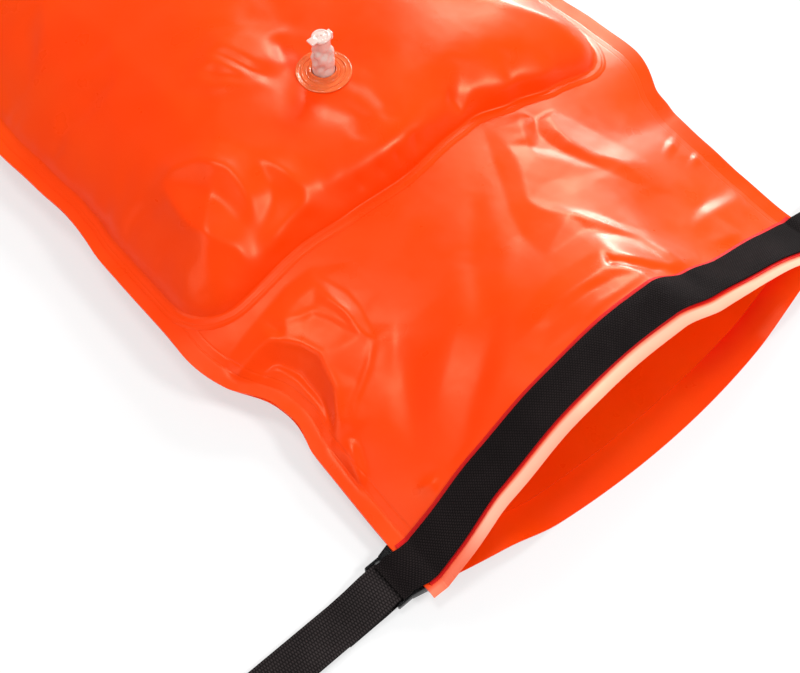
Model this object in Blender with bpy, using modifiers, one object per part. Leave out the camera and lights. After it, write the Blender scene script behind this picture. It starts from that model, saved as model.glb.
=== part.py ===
"""Open water swim buoy: a roll-top dry bag with an inflatable chamber, its buckles, leash and waist belt.

Metres, +Z up. The origin is the middle of the flat underside, +Y runs to the closed end, -Y to the mouth.
"""

import math

import bmesh
import bpy
from mathutils import Matrix, Vector

# Clearances
GAP = 0.0003
HINGE_GAP = 0.0005
CUT_OVERRUN = 0.004
MERGE_DISTANCE = 0.00001
# Joined pieces stop at this share of the height of the face that they would otherwise lie in
FLUSH_SHARE = 0.96

# Welded bag
FILM = 0.0008
SEAM_WIDTH = 0.010
BAG_LENGTH = 0.700
CHAMBER_HALF_WIDTH = 0.186
MOUTH_DRAW_IN = 0.014
WAIST_DRAW_IN = 0.018
END_DRAW_IN = 0.004
MOUTH_HALF_WIDTH = CHAMBER_HALF_WIDTH - MOUTH_DRAW_IN
WAIST_HALF_WIDTH = CHAMBER_HALF_WIDTH - WAIST_DRAW_IN
END_HALF_WIDTH = CHAMBER_HALF_WIDTH - END_DRAW_IN
END_CORNER_RADIUS = 0.034
MOUTH_EDGE_HEIGHT = 0.0123
WAIST_EDGE_HEIGHT = 0.020
CHAMBER_EDGE_HEIGHT = 0.030
END_EDGE_HEIGHT = 0.016
MOUTH_ARCH_HEIGHT = 0.060
WAIST_ARCH_HEIGHT = 0.052
SEAM_ARCH_HEIGHT = 0.050
CHAMBER_FLOOR_HEIGHT = 0.043
END_FLOOR_HEIGHT = 0.034
FRONT_LIP_SET_BACK = 0.011
BACK_LIP_REACH = 0.022
MOUTH_Y = (BACK_LIP_REACH - BAG_LENGTH) / 2
LIP_CURVE_RUN = 0.130
END_CLOSE_RUN = 0.085

# Air chamber
PANEL_INSET = 0.0015
PANEL_SEAM = 0.009
PANEL_CORNER_RADIUS = 0.018
DOME_CORNER_RADIUS = 0.028
DOME_RISE = 0.030
DOME_RIM_RUN = 0.060
CROWN_RISE = 0.008
CROWN_RUN = 0.160
CORNER_ROW_SHARE = 0.4

# Places along the bag, from the mouth
WAIST_FROM_MOUTH = 0.135
CHAMBER_FROM_MOUTH = 0.196
FULL_WIDTH_FROM_MOUTH = CHAMBER_FROM_MOUTH + PANEL_SEAM

# Mouth band and lip stiffener
WEBBING_WIDTH = 0.025
WEBBING = 0.0015
BAND_FROM_LIP = 0.0065
BACKING_WIDTH = 0.030
BACKING_FROM_LIP = 0.003
BACKING = 0.0006
BACKING_END_INSET = 0.003
STIFFENER_WIDTH = 0.023
STIFFENER_FROM_LIP = 0.017
STIFFENER = 0.0008
LEFT_TAIL = 0.0105
TAIL_BEND_SHARE = 1 / 3

# Side release buckles
BUCKLE_WIDTH = 0.035
BUCKLE_HEIGHT = 0.0096
BUCKLE_WALL = 0.0016
BUCKLE_CENTRE_HEIGHT = 0.0051
BAR_RADIUS = 0.0020
BAR_LOOP_GAP = 0.0003
BAR_STEPS = 12
BAR_REACH_SHARE = 0.94
CHEEK_HEIGHT = 0.0054
CHEEK_REACH_SHARE = 0.97
FRAME_END = 0.0030
SLOT_LENGTH = 0.0052
MALE_BASE_LENGTH = 0.0225
MALE_BASE_HEIGHT = 0.0088
TONGUE_LENGTH = 0.020
TONGUE_WIDTH = 0.0064
TONGUE_HEIGHT = 0.0042
PRONG_LENGTH = 0.0210
PRONG_WIDTH = 0.0044
PRONG_HEIGHT = 0.0046
PRONG_CENTRE = 0.0118
PRONG_HEAD_LENGTH = 0.0095
PRONG_HEAD_SIDE_INSET = 0.0003
FEMALE_BODY_LENGTH = 0.0262
FEMALE_BAR_END = 0.0108
WINDOW_CLEARANCE = 0.0005
BUCKLE_EDGE = 0.0012
PRONG_EDGE = 0.0006

# Buckles' places
BAND_CENTRE_Y = MOUTH_Y + BAND_FROM_LIP + WEBBING_WIDTH / 2
LEFT_BAR_REACH = 0.014
RIGHT_BAR_REACH = 0.015
LEFT_BUCKLE_BAR_X = -(MOUTH_HALF_WIDTH + LEFT_BAR_REACH)
RIGHT_BUCKLE_BAR_X = MOUTH_HALF_WIDTH + RIGHT_BAR_REACH
LEFT_BUCKLE_SET_BACK = 0.0015
BUCKLE_Y = BAND_CENTRE_Y + LEFT_BUCKLE_SET_BACK

# Leash and waist belt
STRAP_LIFT = 0.0003
LOOP_REACH = 0.024
LOOP_WELD_GAP = 0.0005
LAYER_GAP = 0.0004
LEASH_SEWN_RUN = 0.036
LEASH_SLOPE_RUN = 0.026
LEASH_SLOPE_SHARES = (0.35, 0.75, 1.2)
LEASH_DROP_SHARE = 0.72
TURN_LEAD_SHARE = 3
CLIMB_RUN_SHARE = 3
LEASH_LENGTH = 0.1515
BUNDLE_X = LEFT_BUCKLE_BAR_X - LEASH_LENGTH
BUNDLE_SHIFT = 0.026
BUNDLE_Y = BUCKLE_Y - BUNDLE_SHIFT
BUNDLE_HALF_LENGTH = 0.0675
BUNDLE_LAYERS = 7
LEASH_END_RUN = 0.028
BELT_END_GAP = 0.0006
WAIST_MALE_BAR_OFFSET = -0.031
BELT_SEWN_RUN = 0.020
# Of the sewn run: the sewn end, and the two bends of the strap as it leaves the female half's bar
BELT_BEND_SHARES = (0.55, 0.5, 0.8)
BELT_DROP_SHARE = 0.5
KEEPER_WIDTH = 0.012
KEEPER = 0.0012
KEEPER_OFFSET = 0.052
TURN_STEPS = 7
FOLD_STEPS = 4

# Valve
VALVE_X = -0.012
VALVE_FROM_SEAM = 0.083
VALVE_Y = MOUTH_Y + CHAMBER_FROM_MOUTH + VALVE_FROM_SEAM
VALVE_PAD_RISE = 0.0345
VALVE_PAD_HEIGHT = CHAMBER_FLOOR_HEIGHT + VALVE_PAD_RISE
VALVE_PAD_HALF = 0.0205
VALVE_PAD_BLEND = 0.026
VALVE_HOLE_RADIUS = 0.0078
FLANGE_RADIUS = 0.0180
FLANGE = 0.0010
COLLAR_RADIUS = 0.0082
COLLAR_HEIGHT = 0.0030
STEM_RADIUS = 0.0056
STEM_BORE_RADIUS = 0.0043
STEM_FIT = 0.0004
STEM_ABOVE = 0.0290
STEM_BELOW = 0.0040
LUG_REACH = 0.0022
LUG_WIDTH = 0.0042
LUG_HEIGHT = 0.0036
CAP_RADIUS = 0.0060
CAP = 0.0022
PLUG_RADIUS = 0.0037
PLUG_DEPTH = 0.0030
TAB_REACH = 0.0062
TAB_WIDTH = 0.0060
TAB = 0.0012
FLAP_RADIUS = 0.0050
FLAP = 0.0008

# Grid lines
SIDE_COLUMNS = 9
STIFFENER_SKIPPED_COLUMNS = 2
SLEEVE_ROWS = 7
CHAMBER_ROWS = 8
END_ROWS = 5
ROUND_STEPS = 28
SHARP_DEGREES = 35

# Finishes: linear colour and roughness
ORANGE_FILM = ((1.0, 0.085, 0.004), 0.32)
RED_BACKING = ((0.75, 0.01, 0.01), 0.45)
BLACK_WEBBING = ((0.012, 0.012, 0.013), 0.85)
BUCKLE_PLASTIC = ((0.015, 0.015, 0.016), 0.35)
CLEAR_PLASTIC = ((0.95, 0.93, 0.9), 0.12)
CLEAR_TRANSMISSION = 0.8


def clear_scene():
    """Remove the objects that the file opened with."""
    for item in list(bpy.data.objects):
        bpy.data.objects.remove(item, do_unlink=True)


def make_collection(name):
    """A collection linked to the scene."""
    group = bpy.data.collections.new(name)
    bpy.context.scene.collection.children.link(group)
    return group


def make_material(name, finish, transmission=0):
    """A Principled material in the colour of the real piece."""
    colour, roughness = finish
    material = bpy.data.materials.new(name)
    material.use_nodes = True
    shader = material.node_tree.nodes["Principled BSDF"]
    shader.inputs["Base Color"].default_value = (*colour, 1)
    shader.inputs["Roughness"].default_value = roughness
    shader.inputs["Metallic"].default_value = 0
    shader.inputs["Transmission Weight"].default_value = transmission
    return material


def add_object(name, mesh, group, material=None):
    """Wrap a mesh in a linked object."""
    item = bpy.data.objects.new(name, mesh)
    group.objects.link(item)
    if material:
        item.data.materials.append(material)
    return item


def mesh_from(bm, name):
    """Write a bmesh to a new mesh and free it."""
    mesh = bpy.data.meshes.new(name)
    bm.to_mesh(mesh)
    bm.free()
    return mesh


def shade_round(mesh):
    """Shade a mesh smooth but for its sharp edges."""
    mesh.shade_smooth()
    mesh.set_sharp_from_angle(angle=math.radians(SHARP_DEGREES))
    return mesh


def block_mesh(name, low, high):
    """A box between two corners, with its place in its mesh."""
    low = Vector(low)
    high = Vector(high)
    bm = bmesh.new()
    bmesh.ops.create_cube(bm, size=1)
    size = high - low
    bmesh.ops.scale(bm, vec=size, verts=bm.verts)
    bmesh.ops.translate(bm, vec=(low + high) / 2, verts=bm.verts)
    return mesh_from(bm, name)


def rod_mesh(name, radius, low, high, axis="Z", centre=(0, 0), steps=ROUND_STEPS):
    """A closed cylinder, smooth round its side; centre gives its two coordinates off its axis."""
    bm = bmesh.new()
    bmesh.ops.create_cone(
        bm, cap_ends=True, segments=steps, radius1=radius, radius2=radius, depth=high - low
    )
    if axis == "Y":
        bmesh.ops.rotate(bm, matrix=Matrix.Rotation(math.pi / 2, 3, "X"), verts=bm.verts)
        middle = (centre[0], (low + high) / 2, centre[1])
    else:
        middle = (centre[0], centre[1], (low + high) / 2)
    bmesh.ops.translate(bm, vec=middle, verts=bm.verts)
    return shade_round(mesh_from(bm, name))


def bevel(item, width, segments=1):
    """Round the edges sharper than a right angle's half."""
    modifier = item.modifiers.new("rounded edges", "BEVEL")
    modifier.width = width
    modifier.segments = segments
    modifier.limit_method = "ANGLE"


def boolean(item, other, operation):
    """Join or cut with an exact boolean; the other object becomes a hidden guide."""
    modifier = item.modifiers.new(operation.lower(), "BOOLEAN")
    modifier.operation = operation
    modifier.solver = "EXACT"
    modifier.object = other
    other.hide_render = True
    other.display_type = "WIRE"
    for group in list(other.users_collection):
        group.objects.unlink(other)
    CUTTERS.objects.link(other)


def solidify(item, thickness, offset):
    """Give an open sheet its thickness."""
    modifier = item.modifiers.new("film", "SOLIDIFY")
    modifier.thickness = thickness
    modifier.offset = offset
    modifier.use_even_offset = True


def place(item, frame):
    """Put an object at a frame, as its own transform."""
    item.matrix_world = frame


def attach(item, carrier):
    """Parent a placed object to the piece that carries it, where it is."""
    item.parent = carrier
    item.matrix_parent_inverse = carrier.matrix_basis.inverted()


def smooth_step(share):
    """0 to 1 with level ends."""
    share = min(max(share, 0), 1)
    return share * share * (3 - 2 * share)


def along(stations, distance):
    """Read a smooth curve through (distance, value) stations."""
    if distance <= stations[0][0]:
        return stations[0][1]
    for (start, first), (end, last) in zip(stations, stations[1:]):
        if distance <= end:
            return first + (last - first) * smooth_step((distance - start) / (end - start))
    return stations[-1][1]


def spread(start, end, count):
    """Evenly spaced values without the last one."""
    return [start + (end - start) * step / count for step in range(count)]


HALF_WIDTHS = [
    (0, MOUTH_HALF_WIDTH),
    (WAIST_FROM_MOUTH, WAIST_HALF_WIDTH),
    (FULL_WIDTH_FROM_MOUTH, CHAMBER_HALF_WIDTH),
    (BAG_LENGTH - 2 * END_CLOSE_RUN, CHAMBER_HALF_WIDTH),
    (BAG_LENGTH - END_CORNER_RADIUS, END_HALF_WIDTH),
]
EDGE_HEIGHTS = [
    (0, MOUTH_EDGE_HEIGHT),
    (BACKING_FROM_LIP + BACKING_WIDTH, MOUTH_EDGE_HEIGHT),
    (WAIST_FROM_MOUTH, WAIST_EDGE_HEIGHT),
    (FULL_WIDTH_FROM_MOUTH + SEAM_WIDTH, CHAMBER_EDGE_HEIGHT),
    (BAG_LENGTH - 2 * END_CLOSE_RUN, CHAMBER_EDGE_HEIGHT),
    (BAG_LENGTH - SEAM_WIDTH, END_EDGE_HEIGHT),
]
FRONT_HEIGHTS = [
    (0, MOUTH_ARCH_HEIGHT),
    (WAIST_FROM_MOUTH, WAIST_ARCH_HEIGHT),
    (CHAMBER_FROM_MOUTH, SEAM_ARCH_HEIGHT),
    (BAG_LENGTH / 2, CHAMBER_FLOOR_HEIGHT),
    (BAG_LENGTH - END_CLOSE_RUN, END_FLOOR_HEIGHT),
]
# Where the back wall leaves the floor and where it reaches its edge, as shares of the way across
FLAT_SHARES = [(BACKING_FROM_LIP + BACKING_WIDTH, 0.53), (WAIST_FROM_MOUTH, 0.60)]
RAISED_SHARES = [(BACKING_FROM_LIP + BACKING_WIDTH, 0.76), (WAIST_FROM_MOUTH, 1.0)]
ARCH_POWER_SHARE = 2.2
DOME_POWER_SHARE = 2.6
DOME_FULLNESS_SHARE = 0.62


def half_width(distance):
    """Half the bag's width at a distance from the mouth, with the closed end's round corners."""
    width = along(HALF_WIDTHS, distance)
    start = BAG_LENGTH - END_CORNER_RADIUS
    if distance > start:
        rise = min(distance - start, END_CORNER_RADIUS)
        width += math.sqrt(END_CORNER_RADIUS**2 - rise**2) - END_CORNER_RADIUS
    return width


def inner_share(across, distance):
    """How far across the space between the side seams a point lies, from 0 to 1 and past it."""
    inner = half_width(distance) - SEAM_WIDTH
    return min(abs(across) / inner, 1)


def end_share(distance):
    """0 in the bag's body, rising to 1 where the closed end's seam starts."""
    return min(max((distance - (BAG_LENGTH - SEAM_WIDTH - END_CLOSE_RUN)) / END_CLOSE_RUN, 0), 1)


def back_height(across, distance):
    """Height of the back wall's inner face."""
    edge = along(EDGE_HEIGHTS, distance) - GAP / 2
    flat = along(FLAT_SHARES, distance)
    raised = along(RAISED_SHARES, distance)
    side = smooth_step((inner_share(across, distance) - flat) / (raised - flat))
    end = smooth_step(end_share(distance))
    return FILM + (edge - FILM) * (1 - (1 - side) * (1 - end))


def front_height(across, distance):
    """Height of the front wall's inner face."""
    edge = along(EDGE_HEIGHTS, distance) + GAP / 2
    top = along(FRONT_HEIGHTS, distance)
    arch = 1 - inner_share(across, distance) ** ARCH_POWER_SHARE
    return edge + (top - edge) * arch * (1 - end_share(distance) ** 2)


def lip_shift(across, distance, reach):
    """How far a lip's curve moves a point along the bag."""
    fall = max(1 - distance / LIP_CURVE_RUN, 0)
    return reach * (1 - inner_share(across, distance) ** 2) * fall**2


def back_point(across, distance):
    """A point on the back wall's inner face."""
    shift = lip_shift(across, distance, -BACK_LIP_REACH)
    return Vector((across, MOUTH_Y + distance + shift, back_height(across, distance)))


def front_point(across, distance):
    """A point on the front wall's inner face."""
    shift = lip_shift(across, distance, FRONT_LIP_SET_BACK)
    return Vector((across, MOUTH_Y + distance + shift, front_height(across, distance)))


def off_surface(surface, across, distance, lift):
    """A point lifted off a surface along its upward normal."""
    step = GAP
    here = surface(across, distance)
    sideways = surface(across + step, distance) - surface(across - step, distance)
    onwards = surface(across, distance + step) - surface(across, distance - step)
    return here + sideways.cross(onwards).normalized() * lift


def panel_half_width(distance):
    """Half the air panel's width, rounded at its two mouth side corners."""
    width = half_width(distance) - PANEL_INSET
    rise = CHAMBER_FROM_MOUTH + PANEL_CORNER_RADIUS - distance
    if rise > 0:
        width += math.sqrt(max(PANEL_CORNER_RADIUS**2 - rise**2, 0)) - PANEL_CORNER_RADIUS
    return width


def pad_share(across, distance):
    """1 on the valve's level pad, falling to 0 around it."""
    reach = max(abs(across - VALVE_X), abs(distance + MOUTH_Y - VALVE_Y))
    return smooth_step(1 - (reach - VALVE_PAD_HALF) / VALVE_PAD_BLEND)


def inside_seam(across, distance):
    """How far a point lies inside the round cornered line where the air panel lifts off the wall."""
    side = half_width(distance) - SEAM_WIDTH - abs(across)
    ends = min(distance - CHAMBER_FROM_MOUTH - PANEL_SEAM, BAG_LENGTH - SEAM_WIDTH - distance)
    if max(side, ends) < DOME_CORNER_RADIUS:
        return max(DOME_CORNER_RADIUS - math.hypot(DOME_CORNER_RADIUS - side, DOME_CORNER_RADIUS - ends), 0)
    return max(min(side, ends), 0)


def panel_point(across, distance):
    """A point on the air panel's inner face."""
    inside = inside_seam(across, distance)
    fall = 1 - min(inside / DOME_RIM_RUN, 1)
    dome = DOME_RISE * (1 - fall**DOME_POWER_SHARE) ** DOME_FULLNESS_SHARE
    point = off_surface(front_point, across, distance, FILM + GAP)
    lifted = point.z + dome + CROWN_RISE * smooth_step(inside / CROWN_RUN)
    pad = pad_share(across, distance)
    point.z = lifted + (VALVE_PAD_HEIGHT - lifted) * pad
    return point


def grid_sheet(name, columns, rows, width_at, surface, group, material):
    """A grid of columns (shares of the inner width, then the seam) and rows, laid on a surface."""
    bm = bmesh.new()
    bmesh.ops.create_grid(bm, x_segments=len(columns) - 1, y_segments=len(rows) - 1, size=1)
    for vert in bm.verts:
        column = round((vert.co.x + 1) / 2 * (len(columns) - 1))
        row = round((vert.co.y + 1) / 2 * (len(rows) - 1))
        distance = rows[row]
        vert.co = surface(width_at(columns[column], distance), distance)
    return add_object(name, shade_round(mesh_from(bm, name)), group, material)


def bag_columns():
    """Column shares from edge to edge, with lines at the valve's pad; past 1 is the side seam."""
    inner = CHAMBER_HALF_WIDTH - SEAM_WIDTH
    side = [step / SIDE_COLUMNS for step in range(1, SIDE_COLUMNS + 1)]
    shares = [-share for share in reversed(side)] + [0] + side
    low = (VALVE_X - VALVE_PAD_HALF) / inner
    high = (VALVE_X + VALVE_PAD_HALF) / inner
    margin = SEAM_WIDTH / inner
    shares = [share for share in shares if share < low - margin or share > high + margin]
    return [-2] + sorted(shares + [low, high]) + [2]


def wall_across(share, distance):
    """Where a bag column lies at a distance from the mouth."""
    width = half_width(distance)
    if abs(share) > 1:
        return math.copysign(width, share)
    return share * (width - SEAM_WIDTH)


def wall_rows():
    """Row distances from the mouth to the closed end."""
    stiffener_end = STIFFENER_FROM_LIP + STIFFENER_WIDTH
    rows = [0, BACKING_FROM_LIP, STIFFENER_FROM_LIP, BACKING_FROM_LIP + BACKING_WIDTH]
    rows += spread(stiffener_end, CHAMBER_FROM_MOUTH, SLEEVE_ROWS)
    return rows + panel_rows()[:-1] + [BAG_LENGTH]


def make_front_wall(group, material):
    """The front sheet, arched at the mouth."""
    wall = grid_sheet("front_wall", bag_columns(), wall_rows(), wall_across, front_point, group, material)
    solidify(wall, FILM, 1)
    return wall


def make_back_wall(group, material):
    """The back sheet, flat on the floor between its raised edges."""
    wall = grid_sheet("back_wall", bag_columns(), wall_rows(), wall_across, back_point, group, material)
    solidify(wall, FILM, -1)
    return wall


def panel_across(share, distance):
    """Where an air panel column lies: on the wall's own column, but for the round corners."""
    width = panel_half_width(distance)
    if abs(share) > 1:
        return math.copysign(width, share)
    return share * (width + PANEL_INSET - SEAM_WIDTH)


def panel_rows():
    """Row distances of the air panel, with lines at the valve's pad."""
    start = CHAMBER_FROM_MOUTH
    corner = [start, start + PANEL_SEAM * CORNER_ROW_SHARE, start + PANEL_SEAM, start + PANEL_CORNER_RADIUS]
    pad_low = VALVE_Y - MOUTH_Y - VALVE_PAD_HALF
    pad_high = VALVE_Y - MOUTH_Y + VALVE_PAD_HALF
    end_start = BAG_LENGTH - SEAM_WIDTH - END_CLOSE_RUN
    rows = corner + [(corner[-1] + pad_low) / 2, pad_low, pad_high]
    rows += spread(pad_high + VALVE_PAD_BLEND / 2, end_start, CHAMBER_ROWS)
    rows += spread(end_start, BAG_LENGTH - SEAM_WIDTH, END_ROWS)
    rows += [BAG_LENGTH - SEAM_WIDTH, BAG_LENGTH - PANEL_INSET]
    return rows


def make_air_panel(group, material):
    """The domed panel over the front wall, with a hole under the valve."""
    panel = grid_sheet(
        "front_air_panel", bag_columns(), panel_rows(), panel_across, panel_point, group, material
    )
    solidify(panel, FILM, 1)
    hole = rod_mesh(
        "valve hole",
        VALVE_HOLE_RADIUS,
        VALVE_PAD_HEIGHT - CUT_OVERRUN,
        VALVE_PAD_HEIGHT + CUT_OVERRUN,
        centre=(VALVE_X, VALVE_Y),
    )
    boolean(panel, add_object("valve hole", hole, CUTTERS), "DIFFERENCE")
    return panel


def strip_across(share, distance):
    """Where a strip's column lies: on the wall's own columns, and short of its edge."""
    if abs(share) > 1:
        return math.copysign(half_width(distance) - BACKING_END_INSET, share)
    return wall_across(share, distance)


def strip_on(name, surface, columns, from_lip, width, lift, thickness, group, material):
    """A flat strip laid across a wall on the wall's own columns."""

    def laid(across, distance):
        return off_surface(surface, across, distance, lift)

    rows = [from_lip, from_lip + width]
    strip = grid_sheet(name, columns, rows, strip_across, laid, group, material)
    solidify(strip, thickness, 1)
    return strip


def make_backing_strip(group, material):
    """The strip welded on the front wall, which the mouth webbing is sewn to."""
    strip = (BACKING_FROM_LIP, BACKING_WIDTH, FILM + GAP, BACKING)
    strip_on("mouth_backing_strip", front_point, bag_columns(), *strip, group, material)


def make_lip_stiffener(group, material):
    """The strip welded inside the back wall near its lip, short of the side seams."""
    strip = (STIFFENER_FROM_LIP, STIFFENER_WIDTH, GAP, STIFFENER)
    columns = bag_columns()[STIFFENER_SKIPPED_COLUMNS:-STIFFENER_SKIPPED_COLUMNS]
    strip_on("lip_stiffener", back_point, columns, *strip, group, material)


def ribbon(name, path, width, thickness, frame, group, material):
    """A flat strap: a path of (along, up) pairs, its width across, placed by a frame."""
    bm = bmesh.new()
    bmesh.ops.create_grid(bm, x_segments=len(path) - 1, y_segments=1, size=1)
    for vert in bm.verts:
        step = round((vert.co.x + 1) / 2 * (len(path) - 1))
        vert.co = Vector((path[step][0], vert.co.y * width / 2, path[step][1]))
    strap = add_object(name, mesh_from(bm, name), group, material)
    solidify(strap, thickness, 0)
    place(strap, frame)
    return strap


def turn(centre, radius, start, end, steps=TURN_STEPS):
    """Points on an arc in a strap's plane, angles in degrees, both ends included."""
    points = []
    for step in range(steps + 1):
        angle = math.radians(start + (end - start) * step / steps)
        points.append((centre[0] + radius * math.cos(angle), centre[1] + radius * math.sin(angle)))
    return points


def band_path_height():
    """Height of the mouth webbing's inner face over the front wall's inner face."""
    return FILM + GAP + BACKING + GAP


def loop_radius():
    """Radius of a strap's middle round a buckle bar."""
    return BAR_RADIUS + BAR_LOOP_GAP + WEBBING / 2


def make_mouth_webbing(group, material):
    """The webbing across the mouth: a short left tail and a right tail sewn round its buckle's bar."""
    lift = band_path_height() + WEBBING / 2
    middle = BAND_FROM_LIP + WEBBING_WIDTH / 2
    reach = MOUTH_HALF_WIDTH - BACKING_END_INSET
    edge = off_surface(front_point, reach, middle, lift)
    bar = (RIGHT_BUCKLE_BAR_X, BUCKLE_CENTRE_HEIGHT)
    top = bar[1] + loop_radius()
    low_run = STRAP_LIFT + WEBBING / 2
    past = MOUTH_HALF_WIDTH + WEBBING
    end = top + WEBBING + GAP
    bend = LEFT_TAIL * TAIL_BEND_SHARE
    left = [(-MOUTH_HALF_WIDTH - LEFT_TAIL, end), (-past - bend, (edge.z + end) / 2), (-past, edge.z)]
    right = [(past, edge.z), (bar[0] - bend, top + WEBBING / 2)]
    right += turn(bar, loop_radius(), 90, -90, 2 * TURN_STEPS)
    right.append((bar[0] - LEFT_TAIL, (low_run + bar[1] - loop_radius()) / 2))
    right.append((reach - BELT_SEWN_RUN, low_run))
    columns = bag_columns()
    count = len(left) + len(columns) + len(right)
    bm = bmesh.new()
    bmesh.ops.create_grid(bm, x_segments=count - 1, y_segments=1, size=1)
    for vert in bm.verts:
        step = round((vert.co.x + 1) / 2 * (count - 1))
        distance = middle + vert.co.y * WEBBING_WIDTH / 2
        if step < len(left):
            vert.co = Vector((left[step][0], MOUTH_Y + distance, left[step][1]))
        elif step < len(left) + len(columns):
            across = strip_across(columns[step - len(left)], distance)
            vert.co = off_surface(front_point, across, distance, lift)
        else:
            tail = right[step - len(left) - len(columns)]
            vert.co = Vector((tail[0], MOUTH_Y + distance, tail[1]))
    webbing = add_object("mouth_webbing", mesh_from(bm, "mouth_webbing"), group, material)
    solidify(webbing, WEBBING, 0)
    return webbing


def buckle_frame(x, y, z, towards):
    """A frame at a buckle half's bar: local +X points towards the mating half."""
    return Matrix.Translation((x, y, z)) @ Matrix.Rotation(math.radians(towards), 4, "Z")


def add_bar(item, frame):
    """Join a round bar across a buckle half, from cheek to cheek."""
    reach = BUCKLE_WIDTH / 2 * BAR_REACH_SHARE
    bar = add_object("bar", rod_mesh("bar", BAR_RADIUS, -reach, reach, "Y", steps=BAR_STEPS), CUTTERS)
    place(bar, frame)
    boolean(item, bar, "UNION")


def make_male_base(name, frame, group, material):
    """A male half's base: bar and strap slot, shoulders, and the guide tongue between the prongs."""
    front = MALE_BASE_LENGTH - FRAME_END
    half = BUCKLE_WIDTH / 2
    neck = BAR_RADIUS + SLOT_LENGTH
    strap_half = WEBBING_WIDTH / 2 + GAP + BAR_LOOP_GAP
    base = add_object(
        name,
        block_mesh(name, (neck, -half, -MALE_BASE_HEIGHT / 2), (front, half, MALE_BASE_HEIGHT / 2)),
        group,
        material,
    )
    place(base, frame)
    bevel(base, BUCKLE_EDGE, 2)
    for side in (-1, 1):
        outer = side * half * CHEEK_REACH_SHARE
        low = (-FRAME_END, min(outer, side * strap_half), -CHEEK_HEIGHT / 2)
        high = (neck + BUCKLE_EDGE * 2, max(outer, side * strap_half), CHEEK_HEIGHT / 2)
        cheek = add_object("cheek", block_mesh("cheek", low, high), CUTTERS)
        place(cheek, frame)
        boolean(base, cheek, "UNION")
    add_bar(base, frame)
    low = (front - BUCKLE_EDGE, -TONGUE_WIDTH / 2, -TONGUE_HEIGHT / 2)
    high = (front + TONGUE_LENGTH, TONGUE_WIDTH / 2, TONGUE_HEIGHT / 2)
    tongue = add_object("tongue", block_mesh("tongue", low, high), CUTTERS)
    place(tongue, frame)
    bevel(tongue, PRONG_EDGE)
    boolean(base, tongue, "UNION")
    return base


def make_prong(name, frame, side, group, material):
    """One sprung prong; its origin is the root it flexes at, and its head fills the female's window."""
    root = MALE_BASE_LENGTH - FRAME_END + HINGE_GAP
    pivot = frame @ Matrix.Translation((root, side * PRONG_CENTRE, 0))
    head_start = PRONG_LENGTH - PRONG_HEAD_LENGTH
    outer = BUCKLE_WIDTH / 2 - PRONG_CENTRE - PRONG_HEAD_SIDE_INSET
    half = PRONG_WIDTH / 2
    height = PRONG_HEIGHT / 2
    blade = block_mesh(name, (0, -half, -height), (PRONG_LENGTH, half, height))
    prong = add_object(name, blade, group, material)
    place(prong, pivot)
    low = (head_start, min(0, side * outer), -height * FLUSH_SHARE)
    high = (PRONG_LENGTH - PRONG_EDGE, max(0, side * outer), height * FLUSH_SHARE)
    head = add_object("head", block_mesh("head", low, high), CUTTERS)
    place(head, pivot)
    boolean(prong, head, "UNION")
    bevel(prong, PRONG_EDGE)
    return prong


def make_female(name, frame, group, material):
    """A female half: socket, side windows, bar and slot. The frame is at its mouth, +X inwards."""
    half = BUCKLE_WIDTH / 2
    height = BUCKLE_HEIGHT / 2
    length = FEMALE_BODY_LENGTH + FEMALE_BAR_END
    block = block_mesh(name, (0, -half, -height), (length, half, height))
    body = add_object(name, block, group, material)
    place(body, frame)
    bevel(body, BUCKLE_EDGE, 2)
    inner_half = half - BUCKLE_WALL
    inner_height = height - BUCKLE_WALL
    low = (-CUT_OVERRUN, -inner_half, -inner_height)
    high = (FEMALE_BODY_LENGTH - BUCKLE_WALL, inner_half, inner_height)
    socket = add_object("socket", block_mesh("socket", low, high), CUTTERS)
    place(socket, frame)
    boolean(body, socket, "DIFFERENCE")
    head_start = PRONG_LENGTH - PRONG_HEAD_LENGTH + HINGE_GAP - GAP
    low = (head_start - WINDOW_CLEARANCE, -half - CUT_OVERRUN, -inner_height)
    high = (PRONG_LENGTH + HINGE_GAP + WINDOW_CLEARANCE, half + CUT_OVERRUN, inner_height)
    window = add_object("window", block_mesh("window", low, high), CUTTERS)
    place(window, frame)
    boolean(body, window, "DIFFERENCE")
    bar = frame @ Matrix.Translation((length - FRAME_END - BAR_RADIUS, 0, 0))
    strap_half = WEBBING_WIDTH / 2 + GAP + BAR_LOOP_GAP
    low = (-BAR_RADIUS - SLOT_LENGTH, -strap_half, -BUCKLE_HEIGHT)
    high = (FRAME_END + BAR_RADIUS + CUT_OVERRUN, strap_half, BUCKLE_HEIGHT)
    fork = add_object("fork", block_mesh("fork", low, high), CUTTERS)
    place(fork, bar)
    boolean(body, fork, "DIFFERENCE")
    add_bar(body, bar)
    return body


def female_frame(male_frame):
    """The female half's mouth, seated on a male half."""
    return male_frame @ Matrix.Translation((MALE_BASE_LENGTH - FRAME_END + GAP, 0, 0))


def female_bar(male_frame):
    """The female half's bar, when seated on a male half."""
    length = FEMALE_BODY_LENGTH + FEMALE_BAR_END - FRAME_END - BAR_RADIUS
    return female_frame(male_frame) @ Matrix.Translation((length, 0, 0))


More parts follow.
